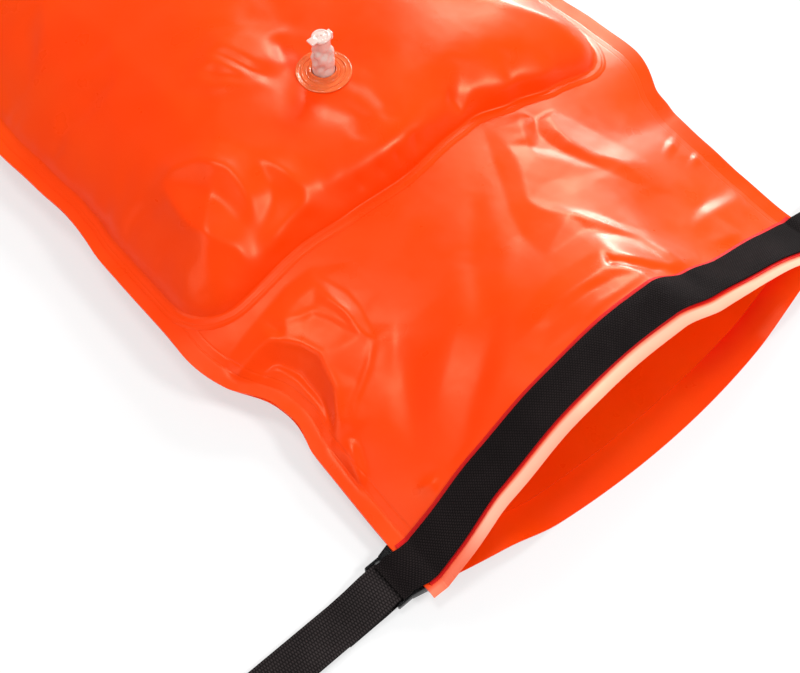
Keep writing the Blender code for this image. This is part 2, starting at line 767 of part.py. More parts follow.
def make_left_buckle(group, plastic, fabric):
    """The clipped buckle under the mouth's left corner, and the loop that holds it."""
    frame = buckle_frame(LEFT_BUCKLE_BAR_X, BUCKLE_Y, BUCKLE_CENTRE_HEIGHT, 0)
    make_male_base("leash_buckle_base", frame, group, plastic)
    make_prong("leash_buckle_front_prong", frame, -1, group, plastic)
    make_prong("leash_buckle_rear_prong", frame, 1, group, plastic)
    make_female("left_buckle_female", female_frame(frame), group, plastic)
    bar = female_bar(frame)
    radius = loop_radius()
    middle = BAND_FROM_LIP + WEBBING_WIDTH / 2
    under = FILM + LOOP_WELD_GAP + WEBBING / 2
    start = bar.translation.x + radius
    places = [wall_across(share, middle) for share in bag_columns()]
    places = [across for across in places if start < across < start + LOOP_REACH]
    heights = [back_height(across, middle) - under for across in places]
    centre = bar.translation
    upper = [(across - centre.x, height - centre.z) for across, height in zip(places, heights)]
    path = list(reversed(upper)) + turn((0, 0), radius, 90, 270, 2 * TURN_STEPS)
    path += [(radius, -radius), (upper[-1][0], upper[-1][1] - WEBBING - LAYER_GAP)]
    ribbon("left_buckle_loop", path, WEBBING_WIDTH, WEBBING, bar, group, fabric)


def make_right_buckle(group, plastic):
    """The free male half past the mouth's right corner."""
    frame = buckle_frame(RIGHT_BUCKLE_BAR_X, BAND_CENTRE_Y, BUCKLE_CENTRE_HEIGHT, 0)
    base = make_male_base("right_buckle_base", frame, group, plastic)
    attach(make_prong("right_buckle_front_prong", frame, -1, group, plastic), base)
    attach(make_prong("right_buckle_rear_prong", frame, 1, group, plastic), base)


def layer_pitch():
    """From one folded layer's middle to the next one's."""
    return WEBBING + LAYER_GAP


def belt_heights():
    """Middle heights of the belt's folded layers; the leash's end loop passes over the lowest."""
    first = STRAP_LIFT + WEBBING + GAP + WEBBING / 2
    second = first + 2 * layer_pitch()
    return [first] + [second + layer_pitch() * layer for layer in range(BUNDLE_LAYERS - 1)]


def waist_buckle_height():
    """Height of the waist buckle's middle, on top of the folded belt."""
    return belt_heights()[-1] + WEBBING / 2 + GAP + BUCKLE_HEIGHT / 2


def make_leash(group, material):
    """The leash strap: sewn round the leash buckle's bar and round the belt's lowest layer."""
    bar = (LEFT_BUCKLE_BAR_X, BUCKLE_CENTRE_HEIGHT)
    radius = loop_radius()
    low = STRAP_LIFT + WEBBING / 2
    main = low + layer_pitch()
    over = belt_heights()[0] + layer_pitch()
    half = WEBBING_WIDTH / 2
    far = BUNDLE_X - half - LAYER_GAP
    end_radius = (over - low) / 2
    slope_heights = (bar[1] + radius * LEASH_DROP_SHARE, main + WEBBING, main)
    path = [(bar[0] - LEASH_SEWN_RUN, low), (bar[0] - radius * TURN_LEAD_SHARE, low)]
    path += turn(bar, radius, -90, 90, 2 * TURN_STEPS)
    for share, height in zip(LEASH_SLOPE_SHARES, slope_heights):
        path.append((bar[0] - LEASH_SLOPE_RUN * share, height))
    path += [
        (BUNDLE_X + half + WEBBING * CLIMB_RUN_SHARE, main),
        (BUNDLE_X + half + WEBBING, over),
    ]
    path += turn((far, low + end_radius), end_radius, 90, 270)
    path += [(far + WEBBING_WIDTH + LEASH_END_RUN, low)]
    frame = Matrix.Translation((0, BUCKLE_Y, 0))
    ribbon("leash_strap", path, WEBBING_WIDTH, WEBBING, frame, group, material)


def belt_path():
    """The folded belt as (along, up) pairs, from the female half's bar to the male half's bar."""
    heights = belt_heights()
    radius = loop_radius()
    top = waist_buckle_height()
    male = WAIST_MALE_BAR_OFFSET
    female = male + MALE_BASE_LENGTH - FRAME_END + GAP + FEMALE_BODY_LENGTH + FEMALE_BAR_END
    female -= FRAME_END + BAR_RADIUS
    end = BUNDLE_HALF_LENGTH
    fold = layer_pitch()
    outer = end + WEBBING + BELT_END_GAP + fold / 2
    shelf = heights[-1] + fold
    sewn, first_bend, second_bend = (female + BELT_SEWN_RUN * share for share in BELT_BEND_SHARES)
    path = [(sewn, shelf), (female + radius, shelf)]
    path += turn((female, top), radius, -90, -270, 2 * TURN_STEPS)
    path += [
        (first_bend, top + radius * BELT_DROP_SHARE),
        (second_bend, shelf + fold),
        (outer - 2 * fold, shelf + fold),
    ]
    path += turn((outer - fold, shelf), fold, 90, 0, FOLD_STEPS)
    path += turn((outer - fold, heights[0] + fold), fold, 0, -90, FOLD_STEPS)
    for layer in range(BUNDLE_LAYERS - 1):
        rise = (heights[layer + 1] - heights[layer]) / 2
        middle = heights[layer] + rise
        if layer % 2 == 0:
            path += turn((-end, middle), rise, -90, -270)
        else:
            path += turn((end, middle), rise, -90, 90)
    last = top + radius
    rise = (last - heights[-1]) / 2
    path += turn((-end + rise, heights[-1] + rise), rise, -90, -270)
    path += turn((male, top), radius, 90, -90, 2 * TURN_STEPS)
    path += [(male - BELT_SEWN_RUN, shelf)]
    return path


def make_waist_belt(group, plastic, fabric):
    """The belt folded flat, with its clipped buckle on top."""
    quarter_turn = Matrix.Rotation(math.pi / 2, 4, "Z")
    frame = Matrix.Translation((BUNDLE_X, BUNDLE_Y, 0)) @ quarter_turn
    ribbon("waist_belt", belt_path(), WEBBING_WIDTH, WEBBING, frame, group, fabric)
    male = frame @ Matrix.Translation((WAIST_MALE_BAR_OFFSET, 0, waist_buckle_height()))
    make_male_base("waist_buckle_base", male, group, plastic)
    make_prong("waist_buckle_left_prong", male, 1, group, plastic)
    make_prong("waist_buckle_right_prong", male, -1, group, plastic)
    make_female("waist_buckle_female", female_frame(male), group, plastic)


def make_keeper(group, material):
    """The elastic loop round the folded belt; its origin is its own middle, on the way that it slides."""
    heights = belt_heights()
    half = WEBBING_WIDTH / 2 + GAP
    low = heights[0] - WEBBING / 2 - GAP
    high = heights[-1] + 3 * layer_pitch()
    frame = Matrix.Translation((BUNDLE_X, BUNDLE_Y + KEEPER_OFFSET, 0))
    side = half + KEEPER
    end = KEEPER_WIDTH / 2
    outer = block_mesh("belt_keeper", (-side, -end, low - KEEPER), (side, end, high + KEEPER))
    keeper = add_object("belt_keeper", outer, group, material)
    place(keeper, frame)
    bevel(keeper, KEEPER / 2, 2)
    reach = end + CUT_OVERRUN
    inner = block_mesh("keeper hollow", (-half, -reach, low), (half, reach, high))
    hollow = add_object("keeper hollow", inner, CUTTERS)
    place(hollow, frame)
    boolean(keeper, hollow, "DIFFERENCE")


def turned(name, profile, centre, group, material):
    """A turned piece: a closed profile of (radius, height) pairs spun about a vertical axis."""
    bm = bmesh.new()
    verts = [bm.verts.new((radius, 0, height)) for radius, height in profile]
    edges = [bm.edges.new((first, last)) for first, last in zip(verts, verts[1:] + verts[:1])]
    bmesh.ops.spin(
        bm,
        geom=verts + edges,
        cent=(0, 0, 0),
        axis=(0, 0, 1),
        dvec=(0, 0, 0),
        angle=2 * math.pi,
        steps=ROUND_STEPS,
        use_merge=True,
    )
    bmesh.ops.remove_doubles(bm, verts=bm.verts, dist=MERGE_DISTANCE)
    bmesh.ops.recalc_face_normals(bm, faces=bm.faces)
    item = add_object(name, shade_round(mesh_from(bm, name)), group, material)
    item.location = centre
    return item


def make_valve(group, clear):
    """The valve: welded flange, sliding stem with its tether lug, inner flap, and plug."""
    seat = VALVE_PAD_HEIGHT + FILM + GAP
    centre = Vector((VALVE_X, VALVE_Y, seat))
    bore = STEM_RADIUS + STEM_FIT
    flange = [
        (FLANGE_RADIUS, 0),
        (FLANGE_RADIUS, FLANGE / 2),
        (FLANGE_RADIUS - FLANGE, FLANGE),
        (COLLAR_RADIUS + FLANGE, FLANGE),
        (COLLAR_RADIUS, COLLAR_HEIGHT),
        (bore, COLLAR_HEIGHT),
        (bore, 0),
    ]
    turned("valve_flange", flange, centre, group, clear)
    stem = [
        (STEM_RADIUS, -STEM_BELOW),
        (STEM_RADIUS, STEM_ABOVE),
        (STEM_BORE_RADIUS, STEM_ABOVE),
        (STEM_BORE_RADIUS, -STEM_BELOW),
    ]
    tube = turned("valve_stem", stem, centre, group, clear)
    lug_low = (STEM_BORE_RADIUS + GAP, -LUG_WIDTH / 2, STEM_ABOVE - LUG_HEIGHT)
    lug_high = (STEM_RADIUS + LUG_REACH, LUG_WIDTH / 2, STEM_ABOVE - GAP)
    lug = add_object("lug", block_mesh("lug", lug_low, lug_high), CUTTERS)
    lug.location = centre
    boolean(tube, lug, "UNION")
    attach(make_plug(centre + Vector((0, 0, STEM_ABOVE + GAP)), group, clear), tube)
    disc = rod_mesh("valve_flap", FLAP_RADIUS, -FLAP, 0, centre=(0, FLAP_RADIUS))
    flap = add_object("valve_flap", disc, group, clear)
    flap.location = centre + Vector((0, -FLAP_RADIUS, -STEM_BELOW - GAP))
    attach(flap, tube)


def make_plug(rest, group, clear):
    """The plug: a cap with a stub below, a tether arm to the lug and a pull tab. Origin on its hinge."""
    pivot = STEM_RADIUS + LUG_REACH
    half = TAB_WIDTH / 2
    cap = rod_mesh("valve_plug", CAP_RADIUS, 0, CAP, centre=(-pivot, 0))
    plug = add_object("valve_plug", cap, group, clear)
    plug.location = rest + Vector((pivot, 0, 0))
    stub = rod_mesh("stub", PLUG_RADIUS, -PLUG_DEPTH, CAP / 2, centre=(-pivot, 0))
    arm = block_mesh("arm", (-pivot, -LUG_WIDTH / 2, 0), (0, LUG_WIDTH / 2, TAB))
    tab_end = -pivot - CAP_RADIUS - TAB_REACH
    tab = block_mesh("tab", (tab_end, -half, CAP - TAB), (-pivot, half, CAP * FLUSH_SHARE))
    for mesh in (stub, arm, tab):
        piece = add_object(mesh.name, mesh, CUTTERS)
        piece.location = plug.location
        boolean(plug, piece, "UNION")
    return plug


def build():
    """Make every piece of the buoy."""
    group = make_collection("open_water_swim_buoy")
    orange = make_material("orange PVC film", ORANGE_FILM)
    red = make_material("red backing", RED_BACKING)
    webbing = make_material("black webbing", BLACK_WEBBING)
    plastic = make_material("black buckle plastic", BUCKLE_PLASTIC)
    clear = make_material("clear valve plastic", CLEAR_PLASTIC, CLEAR_TRANSMISSION)
    make_back_wall(group, orange)
    make_front_wall(group, orange)
    make_air_panel(group, orange)
    make_backing_strip(group, red)
    make_lip_stiffener(group, orange)
    make_mouth_webbing(group, webbing)
    make_left_buckle(group, plastic, webbing)
    make_right_buckle(group, plastic)
    make_leash(group, webbing)
    make_waist_belt(group, plastic, webbing)
    make_keeper(group, webbing)
    make_valve(group, clear)


clear_scene()
CUTTERS = make_collection("cutters")
build()
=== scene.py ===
"""Open water swim buoy: a roll-top dry bag with an air chamber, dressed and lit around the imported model."""

import logging
import math
from contextlib import contextmanager
from dataclasses import dataclass, field
from enum import Enum
from typing import Callable, Iterable, Iterator, Sequence

import bpy
import numpy as np
from mathutils import Matrix, Vector
from mathutils.geometry import delaunay_2d_cdt, intersect_point_line


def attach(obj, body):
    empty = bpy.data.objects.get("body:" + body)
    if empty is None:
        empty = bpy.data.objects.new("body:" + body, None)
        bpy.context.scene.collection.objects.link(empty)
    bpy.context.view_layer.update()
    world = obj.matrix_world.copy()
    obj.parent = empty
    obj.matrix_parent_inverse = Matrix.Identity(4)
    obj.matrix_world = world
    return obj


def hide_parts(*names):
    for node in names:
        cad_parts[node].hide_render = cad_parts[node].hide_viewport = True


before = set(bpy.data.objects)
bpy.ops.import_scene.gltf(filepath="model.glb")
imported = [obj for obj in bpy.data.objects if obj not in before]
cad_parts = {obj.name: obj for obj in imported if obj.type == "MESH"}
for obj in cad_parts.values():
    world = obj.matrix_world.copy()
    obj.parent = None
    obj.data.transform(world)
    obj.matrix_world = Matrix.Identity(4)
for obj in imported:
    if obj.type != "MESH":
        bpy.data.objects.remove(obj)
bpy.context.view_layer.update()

log = logging.getLogger("swim_buoy")
Array = np.ndarray
Object = bpy.types.Object
Material = bpy.types.Material
Socket = bpy.types.NodeSocket
Face = bpy.types.MeshPolygon
Pair = tuple[float, float]
Triple = tuple[float, float, float]
Surface = Callable[[Array, Array], Array]


class Slot(str, Enum):
    """The record's material slots."""

    FILM = "orange_film"
    BACKING = "red_backing"
    WEBBING = "black_webbing"
    PLASTIC = "buckle_plastic"
    CLEAR = "clear_plastic"


class Body(str, Enum):
    """The bodies that pieces ride on."""

    BAG = "bag"
    LEASH_FRONT = "leash_front_prong"
    LEASH_REAR = "leash_rear_prong"
    RIGHT = "right_buckle"
    RIGHT_FRONT = "right_front_prong"
    RIGHT_REAR = "right_rear_prong"
    WAIST_LEFT = "waist_left_prong"
    WAIST_RIGHT = "waist_right_prong"
    KEEPER = "keeper"
    STEM = "stem"
    PLUG = "plug"
    FLAP = "flap"


# ---------------------------------------------------------------- materials


class Graph:
    """A material's node tree, built one node at a time."""

    def __init__(self, name: str) -> None:
        """Start a material with its Principled shader."""
        self.material = bpy.data.materials.new(name)
        self.material.use_nodes = True
        self.tree = self.material.node_tree
        self.shader = self.tree.nodes["Principled BSDF"]

    def add(self, kind: str, inputs: dict | None = None, **settings: object) -> bpy.types.Node:
        """Add a node.

        Args:
            kind: the node's type without its ShaderNode prefix.
            inputs: values or sockets for its inputs, by name or number.
            settings: the node's own settings.

        Returns:
            The node.
        """
        node = self.tree.nodes.new("ShaderNode" + kind)
        for key, value in settings.items():
            setattr(node, key, value)
        for key, value in (inputs or {}).items():
            if isinstance(value, Socket):
                self.tree.links.new(value, node.inputs[key])
            else:
                node.inputs[key].default_value = value
        return node

    def math(self, operation: str, *values: object) -> Socket:
        """The result of a Math node on numbers or sockets."""
        return self.add("Math", dict(enumerate(values)), operation=operation).outputs[0]

    def noise(self, vector: Socket, scale: float, detail: float = 3.0) -> Socket:
        """Noise between 0 and 1."""
        return self.add("TexNoise", {"Vector": vector, "Scale": scale, "Detail": detail}).outputs[0]

    def place(self) -> Socket:
        """Object coordinates."""
        return self.add("TexCoord").outputs["Object"]

    def attribute(self, name: str) -> Socket:
        """A number stored at the mesh's points."""
        return self.add("Attribute", attribute_name=name).outputs["Fac"]

    def mix(self, factor: object, first: Sequence[float], second: Sequence[float]) -> Socket:
        """A colour between two colours."""
        node = self.add("Mix", {0: factor}, data_type="RGBA")
        for socket, value in ((node.inputs[6], first), (node.inputs[7], second)):
            if isinstance(value, Socket):
                self.tree.links.new(value, socket)
            else:
                socket.default_value = (*value, 1)
        return node.outputs[2]

    def span(self, value: Socket, low: float, high: float, first: float, last: float) -> Socket:
        """A value mapped smoothly from one span to another."""
        numbers = {"Value": value, "From Min": low, "From Max": high, "To Min": first, "To Max": last}
        return self.add("MapRange", numbers, interpolation_type="SMOOTHSTEP").outputs[0]

    def bump(self, height: Socket, distance: float, strength: float = 1.0) -> None:
        """Bump the shader by a height between 0 and 1 that stands for a distance in metres."""
        numbers = {"Height": height, "Distance": distance, "Strength": strength}
        self.link(self.add("Bump", numbers).outputs[0], "Normal")

    def link(self, socket: Socket, target: str) -> None:
        """Lead a socket into the shader."""
        self.tree.links.new(socket, self.shader.inputs[target])

    def constants(self, **numbers: object) -> None:
        """Set the shader's own sockets; an underscore stands for a space."""
        for key, value in numbers.items():
            self.shader.inputs[key.replace("_", " ")].default_value = value


@dataclass(frozen=True)
class FilmFinish:
    """Satin PVC film: colour, gloss in patches, fine grain, a painted lip highlight and painted shade inside
    the bag.
    """

    name: str = "satin orange film"
    colour: Triple = (0.95, 0.046, 0.0003)
    pale: Triple = (0.96, 0.058, 0.0004)
    roughness: float = 0.31
    line_width: float = 0.0009
    line_pitch: float = 0.0052
    gloss: float = 0.29
    # painted highlight: a pale peach colour for the front wall's lip, standing in for the light its curled
    # edge catches
    lip: Triple = (1.0, 0.52, 0.36)
    # painted shade: a deeper red for the back wall inside the bag, standing in for the dim light that reaches
    # it through the film
    painted_inner_shade: Triple = (0.80, 0.008, 0.002)
    gloss_tint: Triple = (1.0, 0.76, 0.44)

    def material(self) -> Material:
        """Make the film's material.

        Returns:
            The material, with its weld lines read from the sheet's own distance attribute.
        """
        graph = Graph(self.name)
        place = graph.place()
        cloud = graph.noise(place, 9.0)
        colour = graph.mix(graph.span(cloud, 0.35, 0.7, 0.0, 1.0), self.colour, self.pale)
        # painted highlight along the front wall's lip, read from its lip attribute
        colour = graph.mix(graph.attribute("lip"), colour, self.lip)
        # painted shade deep inside the bag, read from the back wall's attribute
        colour = graph.mix(graph.attribute("painted_inner_shade"), colour, self.painted_inner_shade)
        graph.link(colour, "Base Color")
        patches = graph.noise(place, 38.0, 4.0)
        graph.link(graph.span(patches, 0.3, 0.7, self.roughness - 0.04, self.roughness + 0.07), "Roughness")
        weld = graph.attribute("weld")
        lines = None
        for offset in (0.0, -self.line_pitch):
            away = graph.math("ABSOLUTE", graph.math("ADD", weld, offset))
            line = graph.span(away, 0.0, self.line_width, 0.0, 1.0)
            lines = line if lines is None else graph.math("MINIMUM", lines, line)
        lines = graph.math("MULTIPLY", lines, 0.3)
        grain = graph.math("MULTIPLY", graph.noise(place, 1500.0, 2.0), 0.05)
        ripple = graph.math("MULTIPLY", graph.noise(place, 60.0, 2.0), 0.5)
        height = graph.math("ADD", graph.math("ADD", lines, grain), ripple)
        graph.bump(height, 0.0004)
        graph.constants(IOR=1.5, Specular_IOR_Level=self.gloss, Specular_Tint=(*self.gloss_tint, 1))
        return graph.material


@dataclass(frozen=True)
class BackingFinish:
    """Coated red strip with a faint cloth weave beneath its coat, and painted shade in the gaps between its
    threads.
    """

    name: str = "red backing strip"
    colour: Triple = (0.74, 0.006, 0.004)
    # painted shade: the darker red in the gaps between the threads
    thread_gap_shade: Triple = (0.58, 0.003, 0.002)

    def material(self) -> Material:
        """Make the strip's material, woven on its own UV map."""
        graph = Graph(self.name)
        along, across = weave_axes(graph)
        threads = graph.math("MULTIPLY", wave(graph, along, 0.0009), wave(graph, across, 0.0009))
        # painted shade in the gaps between the threads, in the same pattern as the bump
        graph.link(graph.mix(threads, self.thread_gap_shade, self.colour), "Base Color")
        graph.bump(threads, 0.00008)
        graph.constants(Roughness=0.5, IOR=1.5, Specular_IOR_Level=0.15)
        return graph.material


def weave_axes(graph: Graph) -> tuple[Socket, Socket]:
    """Metres along and across a strip, from its UV map."""
    split = graph.add("SeparateXYZ", {0: graph.add("UVMap", uv_map="strip").outputs[0]})
    return split.outputs[0], split.outputs[1]


def wave(graph: Graph, value: Socket, pitch: float) -> Socket:
    """A rounded rib of 0 to 1 at each pitch."""
    return graph.math("ABSOLUTE", graph.math("SINE", graph.math("MULTIPLY", value, math.pi / pitch)))


@dataclass(frozen=True)
class WebbingFinish:
    """Black woven strap: ribs across it, in columns that step by half a rib; painted highlight on them,
    painted shade between.
    """

    name: str
    rib: float = 0.0016
    column: float = 0.0011
    depth: float = 0.00030
    colour: Triple = (0.0012, 0.0008, 0.0008)
    # painted highlight: the paler colour given to the raised tops of the threads
    light: Triple = (0.026, 0.019, 0.019)

    def material(self) -> Material:
        """Make the strap's material, woven on its own UV map."""
        graph = Graph(self.name)
        along, across = weave_axes(graph)
        column = graph.math("FLOOR", graph.math("DIVIDE", across, self.column))
        step = graph.math("MULTIPLY", column, self.rib / 2)
        ribs = wave(graph, graph.math("ADD", along, step), self.rib)
        ribs = graph.math("POWER", ribs, 1.2)
        columns = graph.math("POWER", wave(graph, across, self.column), 0.7)
        threads = graph.math("MULTIPLY", ribs, columns)
        fluff = graph.math("MULTIPLY", graph.noise(graph.place(), 900.0, 3.0), 0.35)
        height = graph.math("ADD", threads, fluff)
        # random patches in which the painted highlight is stronger or weaker
        highlight_patches = graph.span(graph.noise(graph.place(), 25.0), 0.3, 0.7, 0.45, 0.75)
        tone = graph.math("MULTIPLY", height, highlight_patches)
        # thread height sets the colour: painted highlight on the raised threads and painted shade in the
        # hollows between them
        graph.link(graph.mix(tone, self.colour, self.light), "Base Color")
        graph.bump(height, self.depth)
        graph.constants(Roughness=0.9, Specular_IOR_Level=0.08)
        return graph.material


@dataclass(frozen=True)
class PlasticFinish:
    """Moulded black acetal: fine spark-eroded grain, paler at edges where it is handled, its shine varying in
    patches.
    """

    name: str = "moulded black plastic"
    colour: Triple = (0.004, 0.004, 0.0045)
    worn: Triple = (0.010, 0.010, 0.011)

    def material(self) -> Material:
        """Make the buckles' material."""
        graph = Graph(self.name)
        place = graph.place()
        grain = graph.noise(place, 2600.0, 2.0)
        edges = graph.add("NewGeometry").outputs["Pointiness"]
        graph.link(graph.mix(graph.span(edges, 0.52, 0.62, 0.0, 1.0), self.colour, self.worn), "Base Color")
        graph.link(graph.span(graph.noise(place, 160.0), 0.3, 0.7, 0.20, 0.32), "Roughness")
        graph.bump(grain, 0.00006)
        graph.constants(IOR=1.48, Specular_IOR_Level=0.22)
        return graph.material


@dataclass(frozen=True)
class ClearFinish:
    """Clear soft PVC: milky in patches, with a fine orange-peel surface."""

    name: str = "clear soft plastic"
    colour: Triple = (0.86, 0.72, 0.68)
    milk: Triple = (0.92, 0.55, 0.44)
    clearness: float = 0.15

    def material(self) -> Material:
        """Make the valve's material."""
        graph = Graph(self.name)
        place = graph.place()
        cloud = graph.noise(place, 260.0, 3.0)
        graph.link(graph.mix(cloud, self.milk, self.colour), "Base Color")
        graph.link(graph.span(cloud, 0.3, 0.7, 0.04, 0.16), "Roughness")
        graph.bump(graph.noise(place, 420.0, 2.0), 0.0003)
        graph.constants(IOR=1.45, Transmission_Weight=self.clearness)
        return graph.material


@dataclass(frozen=True)
class FloorFinish:
    """White sweep, seen as white by the camera but for the object's shadow."""

    name: str = "white sweep"
    white_share: float = 0.56

    def material(self) -> Material:
        """Make the floor's material."""
        graph = Graph(self.name)
        graph.constants(Base_Color=(0.90, 0.90, 0.90, 1), Roughness=0.9, Specular_IOR_Level=0.0)
        glow = graph.add("Emission", {"Color": (1, 1, 1, 1), "Strength": 1.0})
        rays = graph.add("LightPath").outputs
        bounced = graph.math("MAXIMUM", rays["Is Glossy Ray"], rays["Is Transmission Ray"])
        seen = graph.math("MAXIMUM", rays["Is Camera Ray"], bounced)
        share = graph.math("MULTIPLY", seen, self.white_share)
        mixed = graph.add("MixShader", {0: share, 1: graph.shader.outputs[0], 2: glow.outputs[0]})
        graph.tree.links.new(mixed.outputs[0], graph.tree.nodes["Material Output"].inputs["Surface"])
        return graph.material


# ---------------------------------------------------------------- modelling


def link(item: Object) -> Object:
    """Link an object to the scene."""
    bpy.context.scene.collection.objects.link(item)
    return item


def added(name: str) -> Object:
    """Name the primitive just added and put its place in its mesh."""
    item = bpy.context.object
    item.name = item.data.name = name
    bpy.ops.object.transform_apply(location=True, rotation=True, scale=True)
    return item


def deselect() -> None:
    """Leave edit mode and deselect everything."""
    if bpy.context.object and bpy.context.object.mode != "OBJECT":
        bpy.ops.object.mode_set(mode="OBJECT")
    bpy.ops.object.select_all(action="DESELECT")


def upwards(height: float) -> Vector:
    """A step straight up."""
    return Vector((0, 0, height))


def choose(item: Object) -> None:
    """Make an object the only one selected, and active."""
    deselect()
    item.select_set(True)
    bpy.context.view_layer.objects.active = item


@contextmanager
def editing(item: Object, test: Callable[[Face], bool]) -> Iterator[None]:
    """Edit mode with the faces that pass a test selected.

    Args:
        item: the object to edit.
        test: takes a face and says whether it is selected.
    """
    choose(item)
    mesh = item.data
    mesh.vertices.foreach_set("select", [False] * len(mesh.vertices))
    mesh.edges.foreach_set("select", [False] * len(mesh.edges))
    mesh.polygons.foreach_set("select", [test(face) for face in mesh.polygons])
    bpy.ops.object.mode_set(mode="EDIT")
    bpy.ops.mesh.select_mode(type="FACE")
    yield
    bpy.ops.object.mode_set(mode="OBJECT")


def block(
    name: str, low: Sequence[float], high: Sequence[float], edge: float = 0.0, segments: int = 2
) -> Object:
    """A box between two corners with rounded edges.

    Args:
        name: the object's name.
        low: its lowest corner.
        high: its highest corner.
        edge: the width of its rounded edges.
        segments: the faces round each edge.

    Returns:
        The box, with its place in its mesh.
    """
    deselect()
    low, high = Vector(low), Vector(high)
    bpy.ops.mesh.primitive_cube_add(size=1, location=(low + high) / 2, scale=high - low)
    item = added(name)
    if edge:
        round_edges(item, edge, segments)
    return item


def rod(
    name: str, radius: float, start: Sequence[float], end: Sequence[float], edge: float = 0.0, sides: int = 32
) -> Object:
    """A closed cylinder between two points.

    Args:
        name: the object's name.
        radius: its radius.
        start: the middle of its first end.
        end: the middle of its other end.
        edge: the width of its rounded rims.
        sides: the faces round it.

    Returns:
        The cylinder, with its place in its mesh.
    """
    deselect()
    start, end = Vector(start), Vector(end)
    way = end - start
    turn = way.to_track_quat("Z", "Y").to_euler()
    bpy.ops.mesh.primitive_cylinder_add(
        vertices=sides, radius=radius, depth=way.length, location=(start + end) / 2, rotation=turn
    )
    item = added(name)
    if edge:
        round_edges(item, edge, 2)
    return item


def round_edges(item: Object, width: float, segments: int = 2, degrees: float = 40) -> None:
    """Bevel an object's sharp edges."""
    modifier = item.modifiers.new("rounded", "BEVEL")
    modifier.width = width
    modifier.segments = segments
    modifier.limit_method = "ANGLE"
    modifier.angle_limit = math.radians(degrees)
    apply_all(item)


def combine(item: Object, other: Object, operation: str) -> None:
    """Join or cut one object with another, which goes."""
    modifier = item.modifiers.new("combine", "BOOLEAN")
    modifier.operation = operation
    modifier.solver = "EXACT"
    modifier.object = other
    apply_all(item)
    bpy.data.objects.remove(other, do_unlink=True)


def apply_all(item: Object) -> None:
    """Apply an object's modifiers in order."""
    choose(item)
    for modifier in list(item.modifiers):
        bpy.ops.object.modifier_apply(modifier=modifier.name)


def smooth_by_angle(item: Object, degrees: float = 35) -> None:
    """Shade an object smooth but for its sharp edges."""
    choose(item)
    bpy.ops.object.shade_smooth_by_angle(angle=math.radians(degrees))


def copy_at(item: Object, name: str, place: Matrix) -> Object:
    """A copy with its own mesh, its place in that mesh."""
    copy = item.copy()
    copy.data = item.data.copy()
    copy.name = copy.data.name = name
    copy.data.transform(place)
    return link(copy)


def discard(*items: Object) -> None:
    """Remove the objects that were only copied from."""
    for item in items:
        bpy.data.objects.remove(item, do_unlink=True)


def lathe(name: str, profile: Sequence[Pair], centre: Sequence[float], sides: int = 48) -> Object:
    """A turned piece: a ring drawn out and scaled through a closed profile.

    Args:
        name: the object's name.
        profile: pairs of radius and height, round the section once.
        centre: the foot of the axis.
        sides: the faces round it.

    Returns:
        The closed piece, with its place in its mesh.
    """
    deselect()
    centre = Vector(centre)
    radius, height = profile[0]
    bpy.ops.mesh.primitive_circle_add(vertices=sides, radius=radius, location=centre + upwards(height))
    item = added(name)
    bpy.ops.object.mode_set(mode="EDIT")
    bpy.ops.mesh.select_mode(type="VERT")
    bpy.ops.mesh.select_all(action="SELECT")
    for next_radius, next_height in list(profile[1:]) + [profile[0]]:
        bpy.ops.mesh.extrude_region_move(TRANSFORM_OT_translate={"value": upwards(next_height - height)})
        share = next_radius / radius
        middle = centre + upwards(next_height)
        bpy.ops.transform.resize(value=(share, share, 1), center_override=middle)
        radius, height = next_radius, next_height
    bpy.ops.mesh.select_all(action="SELECT")
    bpy.ops.mesh.remove_doubles(threshold=0.00001)
    bpy.ops.mesh.normals_make_consistent(inside=False)
    bpy.ops.object.mode_set(mode="OBJECT")
    return item


def finish_piece(
    item: Object, material: Material, body: Body, nodes: Iterable[str] = (), degrees: float = 35
) -> Object:
    """Dress a piece, let it ride and report it.

    Args:
        item: the piece.
        material: its material.
        body: the body that it rides on.
        nodes: the model's nodes that it stands for.
        degrees: the least angle of an edge that stays sharp.

    Returns:
        The piece.
    """
    smooth_by_angle(item, degrees)
    item.data.materials.clear()
    item.data.materials.append(material)
    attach(item, body.value)
    if nodes:
        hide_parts(*nodes)
    log.info("%s: %d faces, rides on %s", item.name, len(item.data.polygons), body.value)
    return item


# ---------------------------------------------------------------- sheets


def smooth(share: Array) -> Array:
    """0 to 1 with level ends."""
    share = np.clip(share, 0, 1)
    return share * share * (3 - 2 * share)


@dataclass(frozen=True)
class Ramp:
    """A smooth step from 0 at its start to 1 at its end, which may lie to either side."""

    start: float
    end: float

    def at(self, place: Array) -> Array:
        """Read the step."""
        return smooth((place - self.start) / (self.end - self.start))


@dataclass(frozen=True)
class Swell:
    """How a padded sheet rises from its weld: to 1 over a run, fuller or steeper by two powers."""

    run: float
    fullness: float
    steepness: float

    def at(self, inside: Array) -> Array:
        """Read the rise at a distance inside the weld."""
        return (1 - (1 - np.clip(inside / self.run, 0, 1)) ** self.fullness) ** self.steepness


@dataclass(frozen=True)
class Stations:
    """A smooth curve through pairs of place and value."""

    points: tuple[Pair, ...]

    def at(self, place: Array) -> Array:
        """Read the curve."""
        places, values = np.array(self.points).T
        index = np.clip(np.searchsorted(places, place, side="right") - 1, 0, len(places) - 2)
        share = (place - places[index]) / (places[index + 1] - places[index])
        return values[index] + (values[index + 1] - values[index]) * smooth(share)


